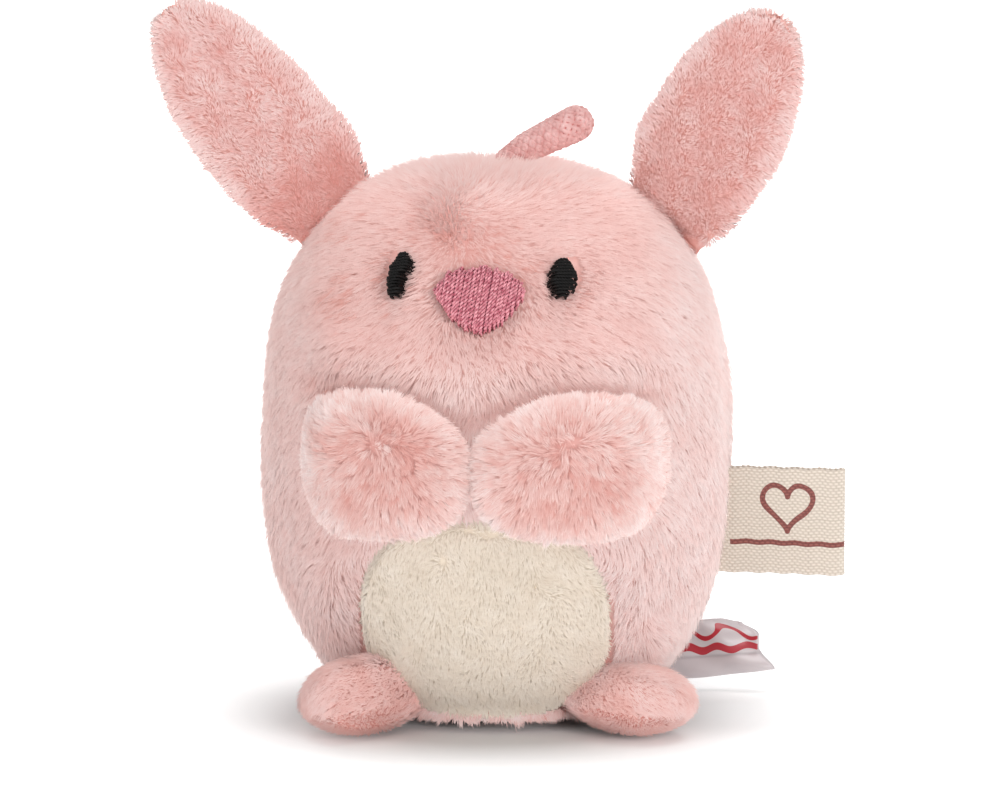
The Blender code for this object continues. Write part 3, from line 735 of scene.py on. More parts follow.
def build_body():
    def lean_low(p):
        return 38 - 22 * upright(p)

    def lean_high(p):
        return 70 - 36 * upright(p)

    looks = dict(length=body_length, tone=body_tone, width=0.055, clump=0.12, pull=0.5)
    looks.update(facing=body_facing, lean=(lean_low, lean_high))
    front = body_sheet(math.pi, 2 * math.pi, 132)
    regions = {
        "face_pile_left": lambda p: off_face(p) & (p[:, 2] > CHIN_Z) & (p[:, 0] > 0),
        "face_pile_right": lambda p: off_face(p) & (p[:, 2] > CHIN_Z) & (p[:, 0] <= 0),
        "front_pile_left": lambda p: off_face(p) & (p[:, 2] <= CHIN_Z) & (p[:, 0] > 0),
        "front_pile_right": lambda p: off_face(p) & (p[:, 2] <= CHIN_Z) & (p[:, 0] <= 0),
    }
    for name, keep in regions.items():
        fix(plant(name, front, keep, face_flow, BODY_PILE, 33, 100, **looks), "pink_plush")
    fix(shell("body_front_cloth", front, BODY_CLOTH, PINK_CLOTH), "pink_plush", "body_front_panel")
    halves = {"upper": lambda p: p[:, 2] > BACK_SPLIT_Z, "lower": lambda p: p[:, 2] <= BACK_SPLIT_Z}
    for side, start in (("left", 0.0), ("right", math.pi / 2)):
        back = body_sheet(start, start + math.pi / 2, 66)
        for part, keep in halves.items():
            name = f"back_pile_{side}_{part}"
            fix(plant(name, back, keep, face_flow, BODY_PILE, 22, 140 + SIGNS[side], **looks), "pink_plush")
        cloth = shell(f"body_back_cloth_{side}", back, BODY_CLOTH, PINK_CLOTH)
        fix(cloth, "pink_plush", f"body_back_panel_{side}")
    build_base()
    build_fringe()
    build_patch()
    build_body_filling()


def build_body_filling():
    """Fibre over a small bag of pellets."""
    low, high = 12.2, 52.2
    heights = low + (high - low) * np.sin(np.linspace(0, 1, 30) * math.pi / 2)
    turn, z = np.meshgrid(np.arange(48) * 2 * math.pi / 48, heights)
    p = around(turn, z)
    p = p - body_normal(p) * (3.6 + 0.3 * noise(p.reshape(-1, 3), 8, 19).reshape(z.shape))[..., None]
    fibre = shell("body_fibre", Sheet(p, body_normal(p).reshape(-1, 3), wrap=True), 1.0, FIBRE)
    fix(fibre, "fibre_fill", "body_filling")
    x, y, r = shaped_disc(29, 10.5, 8.8, 2.2)
    edge = np.sqrt(np.clip(1 - r**2.4, 0, 1))
    pellets = 0.16 * noise(vectors(x, y, 0 * x).reshape(-1, 3), 1.8, 18).reshape(x.shape)
    middle_z = 6.4
    top = vectors(x, y, middle_z + 3.6 * edge + pellets)
    under = vectors(x, y, middle_z - 3.4 * edge - pellets)
    top, under = stuff(top, under, (0, 0, 1), pressure=3.0, cap=0.4)
    fix(lump("pellet_bag_cloth", top, under, PELLET_CLOTH, 0.95), "pellet_cloth", "pellet_bag")


def disc_grid(steps):
    """A square grid mapped to the unit disc: (x, y) with no pole."""
    u, v = np.meshgrid(np.linspace(-1, 1, steps), np.linspace(-1, 1, steps))
    return u * np.sqrt(1 - v * v / 2), v * np.sqrt(1 - u * u / 2)


def shaped_disc(steps, half_a, half_b, power):
    """Grid points inside a superellipse, with their share of the way from the centre to its edge."""
    x, y = disc_grid(steps)
    r = np.minimum(np.hypot(x, y), 1)
    ux, uy = x / np.maximum(r, 1e-9), y / np.maximum(r, 1e-9)
    reach = 1 / (np.abs(ux) ** power + np.abs(uy) ** power + 1e-12) ** (1 / power)
    share_out = np.sin(r * math.pi / 2)
    return ux * reach * share_out * half_a, uy * reach * share_out * half_b, share_out


def build_base():
    x, y, r = shaped_disc(25, 10.2, 7.8, 2.0)
    sheet = Sheet(vectors(x, y, 0.42 + 0 * x), (0, 0, -1))
    fix(shell("base_cloth", sheet, 0.7, PINK_CLOTH), "pink_plush", "base_panel")
    flow = lambda p: np.tile([0.2, 1.0, 0.0], (len(p), 1))
    pile = plant("base_pile", sheet, everywhere, flow, BODY_PILE, 14, 160, length=0.9, lean=(60, 84))
    fix(pile, "pink_plush")


def build_fringe():
    """The body's pile that hangs over the edge of the base, in front between the feet."""
    rng = np.random.default_rng(165)
    count, reach = 3200, 14
    x, z = rng.uniform(-reach, reach, count), rng.uniform(0.3, 1.35, count)
    roots = on_front(x, z, -1.2)
    normals = unit(body_normal(roots) * [1, 1, 0])
    flow = vectors(0.7 * noise(roots, 2.2, 166), 0 * x, 0 * x - 1)
    tone = 0.5 + 0.16 * noise(roots, 1.6, 167)
    length = 1.2 + 0.2 * noise(roots, 1.3, 169)
    fringe = grow("base_fringe", sag(roots), normals, flow, BODY_PILE, length, lean=(22, 56), tone=tone,
                  spread=0.6, tone_spread=0.08, clump_tone=0.1, facing=np.array([0, -0.2, 0.9]), seed=168)
    fix(fringe, "pink_plush")


def build_patch():
    cx, cz, half_x, half_z, power = PATCH
    a, b, r = shaped_disc(61, half_x - 0.15, half_z - 0.15, power)
    lift = -0.85 - 0.75 * smooth((r - 0.93) / 0.07) + 0.12 * (1 - r**2)
    p = on_front(cx + a, np.maximum(cz + b, 0.6), lift)
    p[..., 2] = np.maximum(p[..., 2], 0.45)
    sheet = Sheet(sag(p), (0, -1, 0))
    fix(shell("belly_patch_cloth", sheet, 0.45, CREAM_CLOTH), "cream_plush", "belly_patch")

    def flow(q):
        out = smooth((inside(q[:, 0], q[:, 2], PATCH) - 0.82) / 0.14)
        way_x = 0.15 + noise(q, 5, 31) * 0.3 + 1.8 * out * (q[:, 0] - cx) / half_x
        way_z = -1 + noise(q, 5, 32) * 0.4 + 1.8 * out * (q[:, 2] - cz) / half_z
        return vectors(way_x, 0 * way_x, way_z)

    tone = lambda q, n: 0.5 + 0.06 * noise(q, 3.0, 33) + 0.03 * noise(q, 1.3, 34)
    pile = plant("belly_patch_pile", sheet, everywhere, flow, CREAM_PILE, 56, 170, length=0.9,
                 lean=(48, 76), width=0.05, spread=0.35, pull=0.4, tone=tone, tone_spread=0.035,
                 clump_tone=0.04, soft=0.97)
    fix(pile, "cream_plush")


# Ears

EAR_TILT = {"left": math.radians(28), "right": math.radians(38.5)}
EAR_LEAN = {"left": math.radians(12), "right": 0.0}
EAR_REACH = {"left": 20.9, "right": 23.1}  # of the cloth, from the hinge line
EAR_HALF = {"left": 6.3, "right": 6.35}
EAR_SEAM_Z, EAR_STAND_OFF = 50.4, 2.2
EAR_ROOT = -3.2  # how far the ear's cloth goes down into the head
# The second number is painted shade at the ear's root, where it meets the head.
EAR_TONE = {"left": (0.52, 0.04), "right": (0.64, 0.46)}  # of the pile, and how much deeper at the root
POUCH_CLOTH = 0.35  # thickness


def spin(vectors, axis, angle):
    """Vectors turned about a unit axis."""
    axis = np.asarray(axis, float)
    c, s = math.cos(angle), math.sin(angle)
    return vectors * c + np.cross(axis, vectors) * s + np.outer(vectors @ axis, axis) * (1 - c)


def ear_frame(side):
    sign = SIGNS[side]
    seam = around(np.array(0.0 if sign > 0 else math.pi), np.array(EAR_SEAM_Z))
    seam[1] = 0
    normal = body_normal(seam)
    hinge = seam + normal * EAR_STAND_OFF
    tangent = np.array([normal[2], 0, -normal[0]])
    tilt = EAR_TILT[side]
    along = np.array([[sign * math.sin(tilt), 0, math.cos(tilt)]])
    facing = np.array([[0.0, -1.0, 0.0]])
    lean = EAR_LEAN[side]
    along, facing = spin(along, tangent, lean)[0], spin(facing, tangent, lean)[0]
    return hinge, tangent, along, facing


def ear_half(side, s):
    """Half the ear's width, which closes in a round tip."""
    past = np.clip((s / EAR_REACH[side] - 0.33) / 0.67, 0, 1)
    return EAR_HALF[side] * (1 - past**1.95) ** 0.52


def ear_point(side, s, u, bulge):
    """s runs from the root to the tip in mm, u from edge to edge, bulge is the height over the middle."""
    hinge, tangent, along, facing = ear_frame(side)
    across = unit(tangent - along * (tangent @ along))
    half = ear_half(side, s) * (0.72 + 0.28 * smooth((s + 3.2) / 6))
    inner = -SIGNS[side]
    half = half * (1 + 0.08 * inner * np.sign(u) * smooth((8 - s) / 8))
    slant = smooth(1 - s / 6)
    base = across * (1 - slant[..., None]) + tangent * slant[..., None]
    p = hinge + base * (half * u)[..., None] + along * s[..., None] + facing * bulge[..., None]
    curl = 0.7 * (u * u - 0.4) * smooth(s / 12) + 0.35 * np.sin(s / 5.5 + SIGNS[side])
    return p + facing * curl[..., None]


def ear_grid(side, front):
    s_steps = 1 - (1 - np.linspace(0, 1, 46)) ** 1.5
    across = np.sin(np.linspace(-1, 1, 29) * math.pi / 2)
    s, u = np.meshgrid(EAR_ROOT + (EAR_REACH[side] - EAR_ROOT) * s_steps, across, indexing="ij")
    fade = np.clip(1 - (s / EAR_REACH[side]) ** 8, 0, 1) ** 0.5
    puff = (0.12 + 0.7 * np.sqrt(np.clip(1 - np.abs(u) ** 2.4, 0, 1)) * fade) * (1 if front else -1)
    points = ear_point(side, s, u, puff)
    ripple = 0.09 * noise(points.reshape(-1, 3), 6, 41 if front else 42).reshape(s.shape)
    return points + ripple[..., None] * unit(points - points.mean((0, 1)))


def dress(label, side, sheet, joint, slot, backing, thickness, **pile):
    """One face of a pouch: its pile, and its cloth in the place of the CAD's panel."""
    bend(plant(f"{label}_pile_{side}", sheet, **pile), joint, slot)
    cloth = shell(f"{label}_cloth_{side}", sheet, thickness, backing)
    bend(cloth, joint, slot, f"{label}_panel_{side}")
    return cloth


def build_ear(side):
    hinge, tangent, along, toward = ear_frame(side)
    joint = (f"ear_{side}", hinge - along * 2.4, hinge + along * 3.0)
    sideways = unit(tangent - along * (tangent @ along))
    reach = EAR_REACH[side]

    def local(p):
        return (p - hinge) @ along, (p - hinge) @ sideways

    def planted(p):
        s, _ = local(p)
        return (s > -3.0) & (s < reach - 0.35)

    def edge_share(p):
        s, t = local(p)
        return np.clip(np.maximum(np.abs(t) / (ear_half(side, s) + 0.3), (s / reach) ** 3), 0, 1)

    def near_edge(p, start, width):
        return smooth((edge_share(p) - start) / width)

    def flow(p):
        s, t = local(p)
        curl_a, curl_t = noise(p, 3.2, 51) * 0.3, noise(p, 3.2, 52) * 0.42
        out = 1.6 * near_edge(p, 0.55, 0.4) * np.sign(t)
        way = along * (0.75 + curl_a)[:, None] + tangent * (curl_t + out)[:, None]
        return way + along * (1.2 * smooth(s / reach * 4 - 3))[:, None]

    def front_tone(p, normals):
        root = smooth((5.5 - local(p)[0]) / 6)
        plain, deep = EAR_TONE[side]
        # Painted shade: deeper towards the root, where the ear meets the head.
        shade = plain + 0.34 * near_edge(p, 0.62, 0.3) - deep * root
        return shade + 0.07 * noise(p, 3, 53) + 0.04 * noise(p, 1.2, 54)

    def back_tone(p, normals):
        return 0.62 + 0.1 * noise(p, 4, 55)

    def front_light(p, normals):
        return toward * (0.35 + 0.9 * near_edge(p, 0.7, 0.25))[:, None]

    def back_light(p, normals):
        return toward * (1.3 * near_edge(p, 0.75, 0.2))[:, None]

    grids = stuff(ear_grid(side, True), ear_grid(side, False), toward, pressure=1.2, cap=0.5)
    lean = (lambda p: 24 + 14 * near_edge(p, 0.6, 0.35), lambda p: 50 + 14 * near_edge(p, 0.6, 0.35))
    shared = dict(keep=planted, flow_of=flow, lean=lean, width=0.045, spread=0.35, clump=0.16, pull=0.38)
    seed = 200 + SIGNS[side] * 5
    dress("ear_front", side, Sheet(grids[0], toward), joint, "ear_plush", EAR_CLOTH, POUCH_CLOTH,
          material=EAR_PILE, per_mm2=66, seed=seed + 1, length=1.0, tone=front_tone, tone_spread=0.10,
          facing=front_light, **shared)
    dress("ear_back", side, Sheet(grids[1], -toward), joint, "pink_plush", PINK_CLOTH, POUCH_CLOTH,
          material=BODY_PILE, per_mm2=46, seed=seed, length=1.15, tone=back_tone, facing=back_light,
          **shared)


# Arms

ARM = (9.3, 27.9, 8.7, 7.1)  # x, z, half length, half height of the pile's face
ARM_INNER = {"left": 9.5, "right": 8.7}  # from x to the end by the other arm, which isn't in the middle
ARM_OUTER = {"left": 8.7, "right": 8.1}
ARM_SEAM, ARM_RISE, ARM_DROP = 2.0, 2.7, 1.7  # of the cloth before it is stuffed
ARM_PILE_DEPTH = 1.15


def arm_place(side, a, b, h):
    sign = SIGNS[side]
    x, z = sign * (ARM[0] - a), ARM[1] + b
    return on_front(x, z, h)


def arm_grid(side, front, steps=45):
    depth = ARM_PILE_DEPTH
    a, b, r = shaped_disc(steps, 1.0, ARM[3] - depth * 0.85, 3.0)
    dome = np.sqrt(np.clip(1 - r**2.5, 0, 1))
    full = 1 + 0.12 * a
    outer = smooth((-a - 0.35) / 0.65)
    inset = np.sign(a) * depth * 0.6 * smooth(np.abs(a) * 3)
    a = a * np.where(a > 0, ARM_INNER[side], ARM_OUTER[side]) - inset
    if front:
        h = ARM_SEAM + 0.1 + ARM_RISE * dome * full
    else:
        h = ARM_SEAM - 0.1 - (ARM_DROP - 0.5) * dome
    h = h - outer * (2.5 if front else 1.1)
    flat = vectors(a, b, r * 0).reshape(-1, 3)
    h = h + 0.16 * noise(flat, 7, 61 + SIGNS[side]).reshape(a.shape) * front
    b = b - 1.2 * smooth((a - 1) / 7) * np.clip(b / ARM[3] + 0.35, 0, 1.2)
    return arm_place(side, a, b, h)


def build_arm(side):
    sign = SIGNS[side]
    joint = (f"arm_{side}", arm_place(side, -9.6, 0, 1.5), arm_place(side, -5.6, 0, 3.5))

    def local(p):
        return ARM[0] - sign * p[:, 0], p[:, 2] - ARM[1]

    def out_share(p):
        a, b = local(p)
        return rounded(a / np.where(a > 0, ARM_INNER[side], ARM_OUTER[side]), b / ARM[3], 2.4)

    def flow(p):
        a, b = local(p)
        r = out_share(p)
        away_b = b / ARM[3] * 1.2 - 0.5 * smooth(1.2 - r) + 0.10 * noise(p, 4, 71)
        away_a = a / ARM[2] + 0.14 * noise(p, 4, 72)
        return vectors(-sign * away_a, 0.9 * smooth((r - 0.8) / 0.3), away_b)

    def tone(p, normals):
        centre = smooth((0.95 - out_share(p)) / 0.55)
        outer = smooth((-local(p)[0] - 3.5) / 4)
        shade = 0.74 + 0.02 * outer - 0.42 * centre * (1 - 0.7 * outer)
        return shade + 0.07 * noise(p, 3.5, 73) + 0.05 * noise(p, 1.4, 74)

    def rim(p):
        return smooth((out_share(p) - 0.45) / 0.5)

    toward = body_normal(arm_place(side, 0.0, 0.0, 0.0))
    grids = stuff(arm_grid(side, True), arm_grid(side, False), toward, cap=0.9)
    fibre = lump(f"arm_fibre_{side}", *grids, FIBRE)
    fibre.visible_shadow = False
    bend(fibre, joint, "fibre_fill", f"arm_filling_{side}")
    shared = dict(keep=everywhere, flow_of=flow, material=ARM_PILE, tone=tone, width=0.055, spread=0.32,
                  lean=(lambda p: 26 + 14 * rim(p), lambda p: 52 + 16 * rim(p)), clump=0.07, pull=0.65,
                  tone_spread=0.08, clump_tone=0.09)
    seed = 300 + 5 * sign
    front = dress("arm_front", side, Sheet(grids[0], toward), joint, "pink_plush", PINK_CLOTH, POUCH_CLOTH,
                  per_mm2=60, seed=seed + 1, length=1.7, facing=toward * 0.25, **shared)
    back = dress("arm_back", side, Sheet(grids[1], -toward), joint, "pink_plush", PINK_CLOTH, POUCH_CLOTH,
                 per_mm2=40, seed=seed, length=1.3, facing=toward * 1.6, **shared)
    for cloth in (front, back):
        cloth.visible_shadow = False  # under deep pile the arms shade the body only faintly


# Feet

FOOT_TURN = {"left": math.radians(49), "right": math.radians(38)}
FOOT_REACH = {"left": 18.4, "right": 18.3}
FOOT_HALF = (7.4, 6.6)
FOOT_SIZE = {"left": 1.0, "right": 0.94}
FOOT_TUCK = {"left": 0.30, "right": 0.58}  # how much narrower it is on its inner side
FOOT_SEAM, FOOT_DROP = 3.3, 2.4  # of the cloth before it is stuffed
FOOT_RISE = {"left": 3.1, "right": 4.0}
FOOT_DEPTH = 1.0  # of the pile
FOOT_TONE = {"left": 0.66, "right": 0.58}
FOOT_CLOTH = 0.3  # thickness


def foot_frame(side):
    turn, sign = FOOT_TURN[side], SIGNS[side]
    ahead = np.array([sign * math.sin(turn), -math.cos(turn), 0])
    across = np.array([math.cos(turn), sign * math.sin(turn), 0])
    return ahead * FOOT_REACH[side], ahead, across


def foot_grid(side, top, steps=39):
    centre, ahead, across = foot_frame(side)
    a, b, r = shaped_disc(steps, FOOT_HALF[0] - FOOT_DEPTH * 0.9, FOOT_HALF[1] - FOOT_DEPTH * 0.8, 2.25)
    inner = -SIGNS[side] * b / FOOT_HALF[1]
    dome = np.sqrt(np.clip(1 - r**2.3, 0, 1)) * (1 - 0.28 * smooth(inner) - 0.12 * smooth(-a / FOOT_HALF[0]))
    b = b * FOOT_SIZE[side] * (1 - FOOT_TUCK[side] * smooth(inner * 1.5))
    if top:
        h = FOOT_SEAM + 0.08 + FOOT_RISE[side] * dome * (1 + 0.10 * a / FOOT_HALF[0])
    else:
        h = FOOT_SEAM - 0.08 - FOOT_DROP * dome
    flat = vectors(a, b, 0 * a).reshape(-1, 3)
    h = h + 0.12 * noise(flat, 6, 81 + SIGNS[side]).reshape(a.shape) * top
    return centre + ahead * a[..., None] + across * b[..., None] + np.array([0, 0, 1.0]) * h[..., None]


def foot_pouch(side):
    """The stuffed foot, pressed flat where it stands."""
    top, sole = stuff(foot_grid(side, True), foot_grid(side, False), (0, 0, 1), cap=0.8)
    pressed = 0.75  # height under which the cloth is pressed together
    for grid in (top, sole):
        z = grid[..., 2]
        grid[..., 2] = np.where(z < pressed, pressed - 0.25 * (pressed - z), z).clip(0.5)
    return top, sole


def build_foot(side):
    centre, ahead, across = foot_frame(side)
    joint = (f"foot_{side}", centre - ahead * 8.2, centre - ahead * 4.0)

    def local(p):
        return (p - centre) @ ahead, (p - centre) @ across

    def planted(p):
        return local(p)[0] > -6.5

    def out_share(p):
        a, b = local(p)
        return np.hypot(a / FOOT_HALF[0], b / FOOT_HALF[1])

    def over(p):
        a, b = local(p)
        way = ahead * (0.9 + a / 9 + 0.15 * noise(p, 4, 91))[:, None]
        way = way + across * (b / 6 + 0.15 * noise(p, 4, 92))[:, None]
        way[:, 2] -= 0.5 * smooth((out_share(p) - 0.5) / 0.5)
        return way

    def outward(p):
        a, b = local(p)
        way = ahead * (0.4 + a / 5)[:, None] + across * (b / 4)[:, None]
        way[:, 2] += 0.5
        return way

    def tone(p, normals):
        shade = FOOT_TONE[side] + 0.12 * smooth((out_share(p) - 0.5) / 0.5)
        # Painted shade: darker low down, where the foot meets the floor.
        return shade - 0.20 * smooth((2.2 - p[:, 2]) / 2) + 0.1 * noise(p, 3.5, 93)

    grids = foot_pouch(side)
    bend(lump(f"foot_fibre_{side}", *grids, FIBRE), joint, "fibre_fill", f"foot_filling_{side}")
    shared = dict(keep=planted, material=FOOT_PILE, tone=tone, width=0.05, pull=0.42)
    light = ahead + [0, 0, 0.6]
    seed = 400 + 5 * SIGNS[side]
    dress("foot_top", side, Sheet(grids[0], (0, 0, 1)), joint, "ear_plush", EAR_CLOTH, FOOT_CLOTH,
          flow_of=over, per_mm2=62, seed=seed + 1, length=1.35, lean=(46, 74), facing=light * 0.2, **shared)
    dress("foot_sole", side, Sheet(grids[1], (0, 0, -1)), joint, "ear_plush", EAR_CLOTH, FOOT_CLOTH,
          flow_of=outward, per_mm2=45, seed=seed, length=0.95, lean=(40, 66), facing=light * 1.2, **shared)


# Tail

TAIL_CENTRE_Z, TAIL_RADIUS, TAIL_STAND_OFF = 9.9, 5.2, 5.75


def build_tail():
    seat = HALF_DEPTH * float(share(np.array(TAIL_CENTRE_Z)))
    centre = np.array([0, seat + TAIL_STAND_OFF, TAIL_CENTRE_Z])
    joint = ("tail", centre - [0, 5.6, 0], centre - [0, 3.0, 0])
    lat, lon = np.meshgrid(np.linspace(0.06, math.pi - 0.25, 30), np.arange(44) * 2 * math.pi / 44,
                           indexing="ij")
    ball = vectors(np.sin(lat) * np.cos(lon), np.cos(lat) * 0.95, np.sin(lat) * np.sin(lon))
    toward = ball.reshape(-1, 3)
    sheet = Sheet(centre + ball * (TAIL_RADIUS - 1.0), toward, wrap=True)

    def flow(p):
        return vectors(0.4 * noise(p, 3, 95), np.ones(len(p)), -0.5 + 0.4 * noise(p, 3, 96))

    pile = plant("tail_pile", sheet, everywhere, flow, CREAM_PILE, 40, 500, length=1.5, lean=(20, 55),
                 spread=0.5, clump=0.1, pull=0.6, tone=lambda p, n: 0.5 + 0.12 * noise(p, 3, 97))
    bend(pile, joint, "cream_plush")
    bend(shell("tail_cloth", sheet, POUCH_CLOTH, CREAM_CLOTH), joint, "cream_plush", "tail_cover")
    wad = Sheet(centre + ball * (TAIL_RADIUS - 1.9), toward, wrap=True)
    bend(shell("tail_fibre", wad, 0.5, FIBRE), joint, "fibre_fill", "tail_filling")


# Embroidery


def plied(path, radius, turn_every, plies=2, phase=0.0):
    """A twisted thread, as the paths of its plies."""
    _, one, two = path_frame(path, [0.13, 0.97, 0.21])
    run = path_run(path)
    angles = [phase + 2 * math.pi * (k / plies + run / turn_every) for k in range(plies)]
    return [path + about_path(one, two, angle) * radius for angle in angles]


def stitch_path(start, end, lift_mid, lift_end, step=0.11):
    """A satin stitch over the front, from (x, z) to (x, z), that dives at both ends."""
    length = math.hypot(end[0] - start[0], end[1] - start[1])
    t = np.linspace(0, 1, max(8, int(length / step)))
    x, z = start[0] + (end[0] - start[0]) * t, start[1] + (end[1] - start[1]) * t
    dive = np.minimum(t, 1 - t) * length
    lift = lift_end + (lift_mid - lift_end) * np.sqrt(1 - (1 - np.clip(dive / 0.55, 0, 1)) ** 2)
    return on_front(x, z, lift)


def build_nose():
    rng = np.random.default_rng(600)
    cx, cz, half_x, half_z, _ = NOSE
    pitch, slant = 0.38, 0.16  # of the stitches
    paths = []
    zs = np.linspace(cz - half_z - 0.4, cz + half_z + 0.4, 240)
    for x0 in np.arange(-half_x + 0.12, half_x, pitch):
        xs = x0 + slant * (zs - cz)
        within = inside_nose(xs, zs) < 1.0
        if within.sum() < 8:
            continue
        low, high = zs[within].min(), zs[within].max()
        low, high = low + rng.uniform(-0.22, 0.16), high + rng.uniform(-0.30, 0.26)
        x_low, x_high = x0 + slant * (low - cz), x0 + slant * (high - cz)
        crown = 0.30 * (1 - (x0 / half_x) ** 2) + rng.uniform(-0.09, 0.07)
        x_low, x_high = x_low + rng.uniform(-0.045, 0.045), x_high + rng.uniform(-0.04, 0.04)
        path = stitch_path((x_low, low), (x_high, high), crown, -1.15)
        paths += plied(path, 0.12, 0.85, phase=rng.uniform(0, 6.3))
    nose = tubes("nose_stitches", paths, 0.115, ROSE_THREAD)
    fix(nose, "rose_thread", "nose_embroidery")
    a, b, r = shaped_disc(25, 1, 1, 2.3)
    x = cx + a * (half_x - 0.25)
    z = cz + b * (half_z - 0.25)
    x = x * (1 - nose_narrowing(z))
    lift = -0.15 + 0.25 * (1 - r**2) - 0.9 * smooth((r - 0.85) / 0.15)
    sheet = Sheet(on_front(x, z, lift), (0, -1, 0))
    # The underlay's darker thread is painted shade between and round the stitches.
    fix(shell("nose_underlay", sheet, 0.5, ROSE_THREAD_SHADOW), "rose_thread")


def build_eye(side):
    rng = np.random.default_rng(620 + SIGNS[side])
    cx, cz, half_x, half_z, power = EYES[side]
    right = side == "right"  # sewn narrower, and leaning
    slope, skew = (0.42, 0.20) if right else (-0.12, -0.02)
    paths = []
    for z0 in np.arange(-half_z + 0.1, half_z, 0.27):
        reach = half_x * max(0.0, 1 - abs(z0 / half_z) ** power) ** (1 / power)
        if reach < 0.2:
            continue
        mid = cx + skew * z0
        notch = 0.55 if right and -1.2 < z0 < 0.1 else 0.0  # pile crosses the inner edge here
        left_end = mid - reach + rng.uniform(-0.16, 0.16)
        right_end = mid + reach - notch + rng.uniform(-0.18, 0.18)
        start = (left_end, cz + z0 - slope * reach * 0.5)
        end = (right_end, cz + z0 + slope * reach * 0.5)
        path = stitch_path(start, end, 0.15 + 0.2 * (1 - (z0 / half_z) ** 2), -1.1)
        paths += plied(path, 0.07, 0.6, phase=rng.uniform(0, 6.3))
    eye = tubes(f"eye_stitches_{side}", paths, 0.115, BLACK_THREAD)
    fix(eye, "black_thread", f"eye_embroidery_{side}")
    a, b, r = shaped_disc(17, 1, 1, power)
    x = cx + a * (half_x - 0.3) + skew * b * half_z - (0.25 if right else 0)
    z = cz + b * (half_z - 0.3)
    lift = -0.5 + 0.35 * (1 - r**2) - 0.7 * smooth((r - 0.7) / 0.3)
    sheet = Sheet(on_front(x, z, lift), (0, -1, 0))
    fix(shell(f"eye_underlay_{side}", sheet, 0.5, BLACK_THREAD), "black_thread")


# Hanging loop

LOOP_X, LOOP_LEAN, LOOP_LIFT = 2.7, math.radians(65), 0.6
CORD_RADIUS, LOOP_BEND, LOOP_LENGTH = 1.6, 1.4, 7.3


def build_loop():
    crown = WAIST_Z + TOP_RISE * (1 - (LOOP_X / HALF_WIDTH) ** ROUND) ** (1 / ROUND)
    root = np.array([LOOP_X, 0, crown + LOOP_LIFT])
    out = np.array([math.sin(LOOP_LEAN), 0, math.cos(LOOP_LEAN)])
    back = np.array([0, 1.0, 0])
    bend_at = LOOP_LENGTH - LOOP_BEND - CORD_RADIUS
    legs = np.arange(-2.6, bend_at, 0.14)[:, None]
    turn = np.linspace(0, math.pi, 34)[1:-1, None]
    first = root + out * legs - back * LOOP_BEND
    arc = root + out * (bend_at + LOOP_BEND * np.sin(turn)) - back * LOOP_BEND * np.cos(turn)
    second = root + out * legs[::-1] + back * LOOP_BEND
    path = np.concatenate([first, arc, second])
    run, step = path_run(path), 0.09
    path_fine = np.stack([np.interp(np.arange(0, run[-1], step), run, path[:, k]) for k in range(3)], 1)
    run = np.arange(len(path_fine)) * step
    path_fine[:, 2] += 0.35 * bump(run, run[-1] / 2, 4.5) * 0.4  # the end rises a little
    ahead = unit(np.gradient(path_fine, axis=0))
    one = np.broadcast_to(np.array([-math.cos(LOOP_LEAN), 0, math.sin(LOOP_LEAN)]), ahead.shape)
    two = np.cross(ahead, one)
    strands, lay = 12, 5.0  # each way, and the length of a turn
    up_loop = (path_fine - root) @ out
    fuller, thinner = np.clip(up_loop / LOOP_LENGTH, 0, 1), np.clip(-up_loop / 2.4, 0, 1)
    swell = CORD_RADIUS * (0.86 + 0.30 * fuller - 0.4 * thinner)
    paths = []
    for k in range(strands * 2):
        hand = 1 if k < strands else -1
        phase = 2 * math.pi * (k % strands) / strands + (math.pi / strands if hand < 0 else 0)
        angle = phase + hand * 2 * math.pi * run / lay
        weave = np.cos(strands * (angle - phase) + (0 if hand > 0 else math.pi) + math.pi * (k % 2))
        radius = swell - 0.27 + 0.12 * weave
        paths.append(path_fine + about_path(one, two, angle) * radius[:, None])
    cord = tubes("hanging_loop_braid", paths, 0.24, CORD_THREAD)
    cord.visible_shadow = False
    joint = ("loop", root - out * 1.6, root + out * 1.4)
    bend(cord, joint, "pink_cord", "hanging_loop")
    core = tubes("hanging_loop_core", [path_fine[::3]], [swell[::3] - 0.30], CORD_CORE, sides=12)
    core.visible_shadow = False
    bend(core, joint, "pink_cord")
    build_bartack(crown)


def build_bartack(crown):
    """The stitching that holds the loop, to and fro over its root."""
    turns = [(-1.1, -1.6), (1.0, -1.2), (-1.0, -0.7), (1.1, -0.3), (-1.1, 0.2), (1.0, 0.6), (-1.0, 1.1),
             (1.1, 1.5)]
    path = []
    for a, b in zip(turns, turns[1:]):
        t = np.linspace(0, 1, 14)[:, None]
        flat = np.array(a) * (1 - t) + np.array(b) * t
        path.append(np.concatenate([flat, 0.35 * np.sin(t * math.pi)], 1))
    path = np.concatenate(path) + [LOOP_X, 0, crown - 1.35]
    tack = tubes("loop_bartack_thread", plied(path, 0.08, 0.6), 0.12, ROSE_THREAD)
    fix(tack, "rose_thread", "loop_bartack")


# Labels

FLAG_X, FLAG_LOW, FLAG_HIGH, FLAG_LENGTH = 24.3, 14.5, 25.0, 10.3
CARE_X, CARE_Y, CARE_LENGTH = 13.8, 12.9, 12.8


def heart_distance(x, y, size):
    """How far points are from the outline of a heart of this half width."""
    t = np.linspace(0, 2 * math.pi, 160)
    outline_x = size * np.sin(t) ** 3
    waves = 13 * np.cos(t) - 5 * np.cos(2 * t) - 2 * np.cos(3 * t) - np.cos(4 * t)
    outline_y = size * waves / 16 + 0.1 * size
    nearest = np.full(x.shape, 9.0)
    for a, b in zip(outline_x, outline_y):
        nearest = np.minimum(nearest, np.hypot(x - a, y - b))
    return nearest


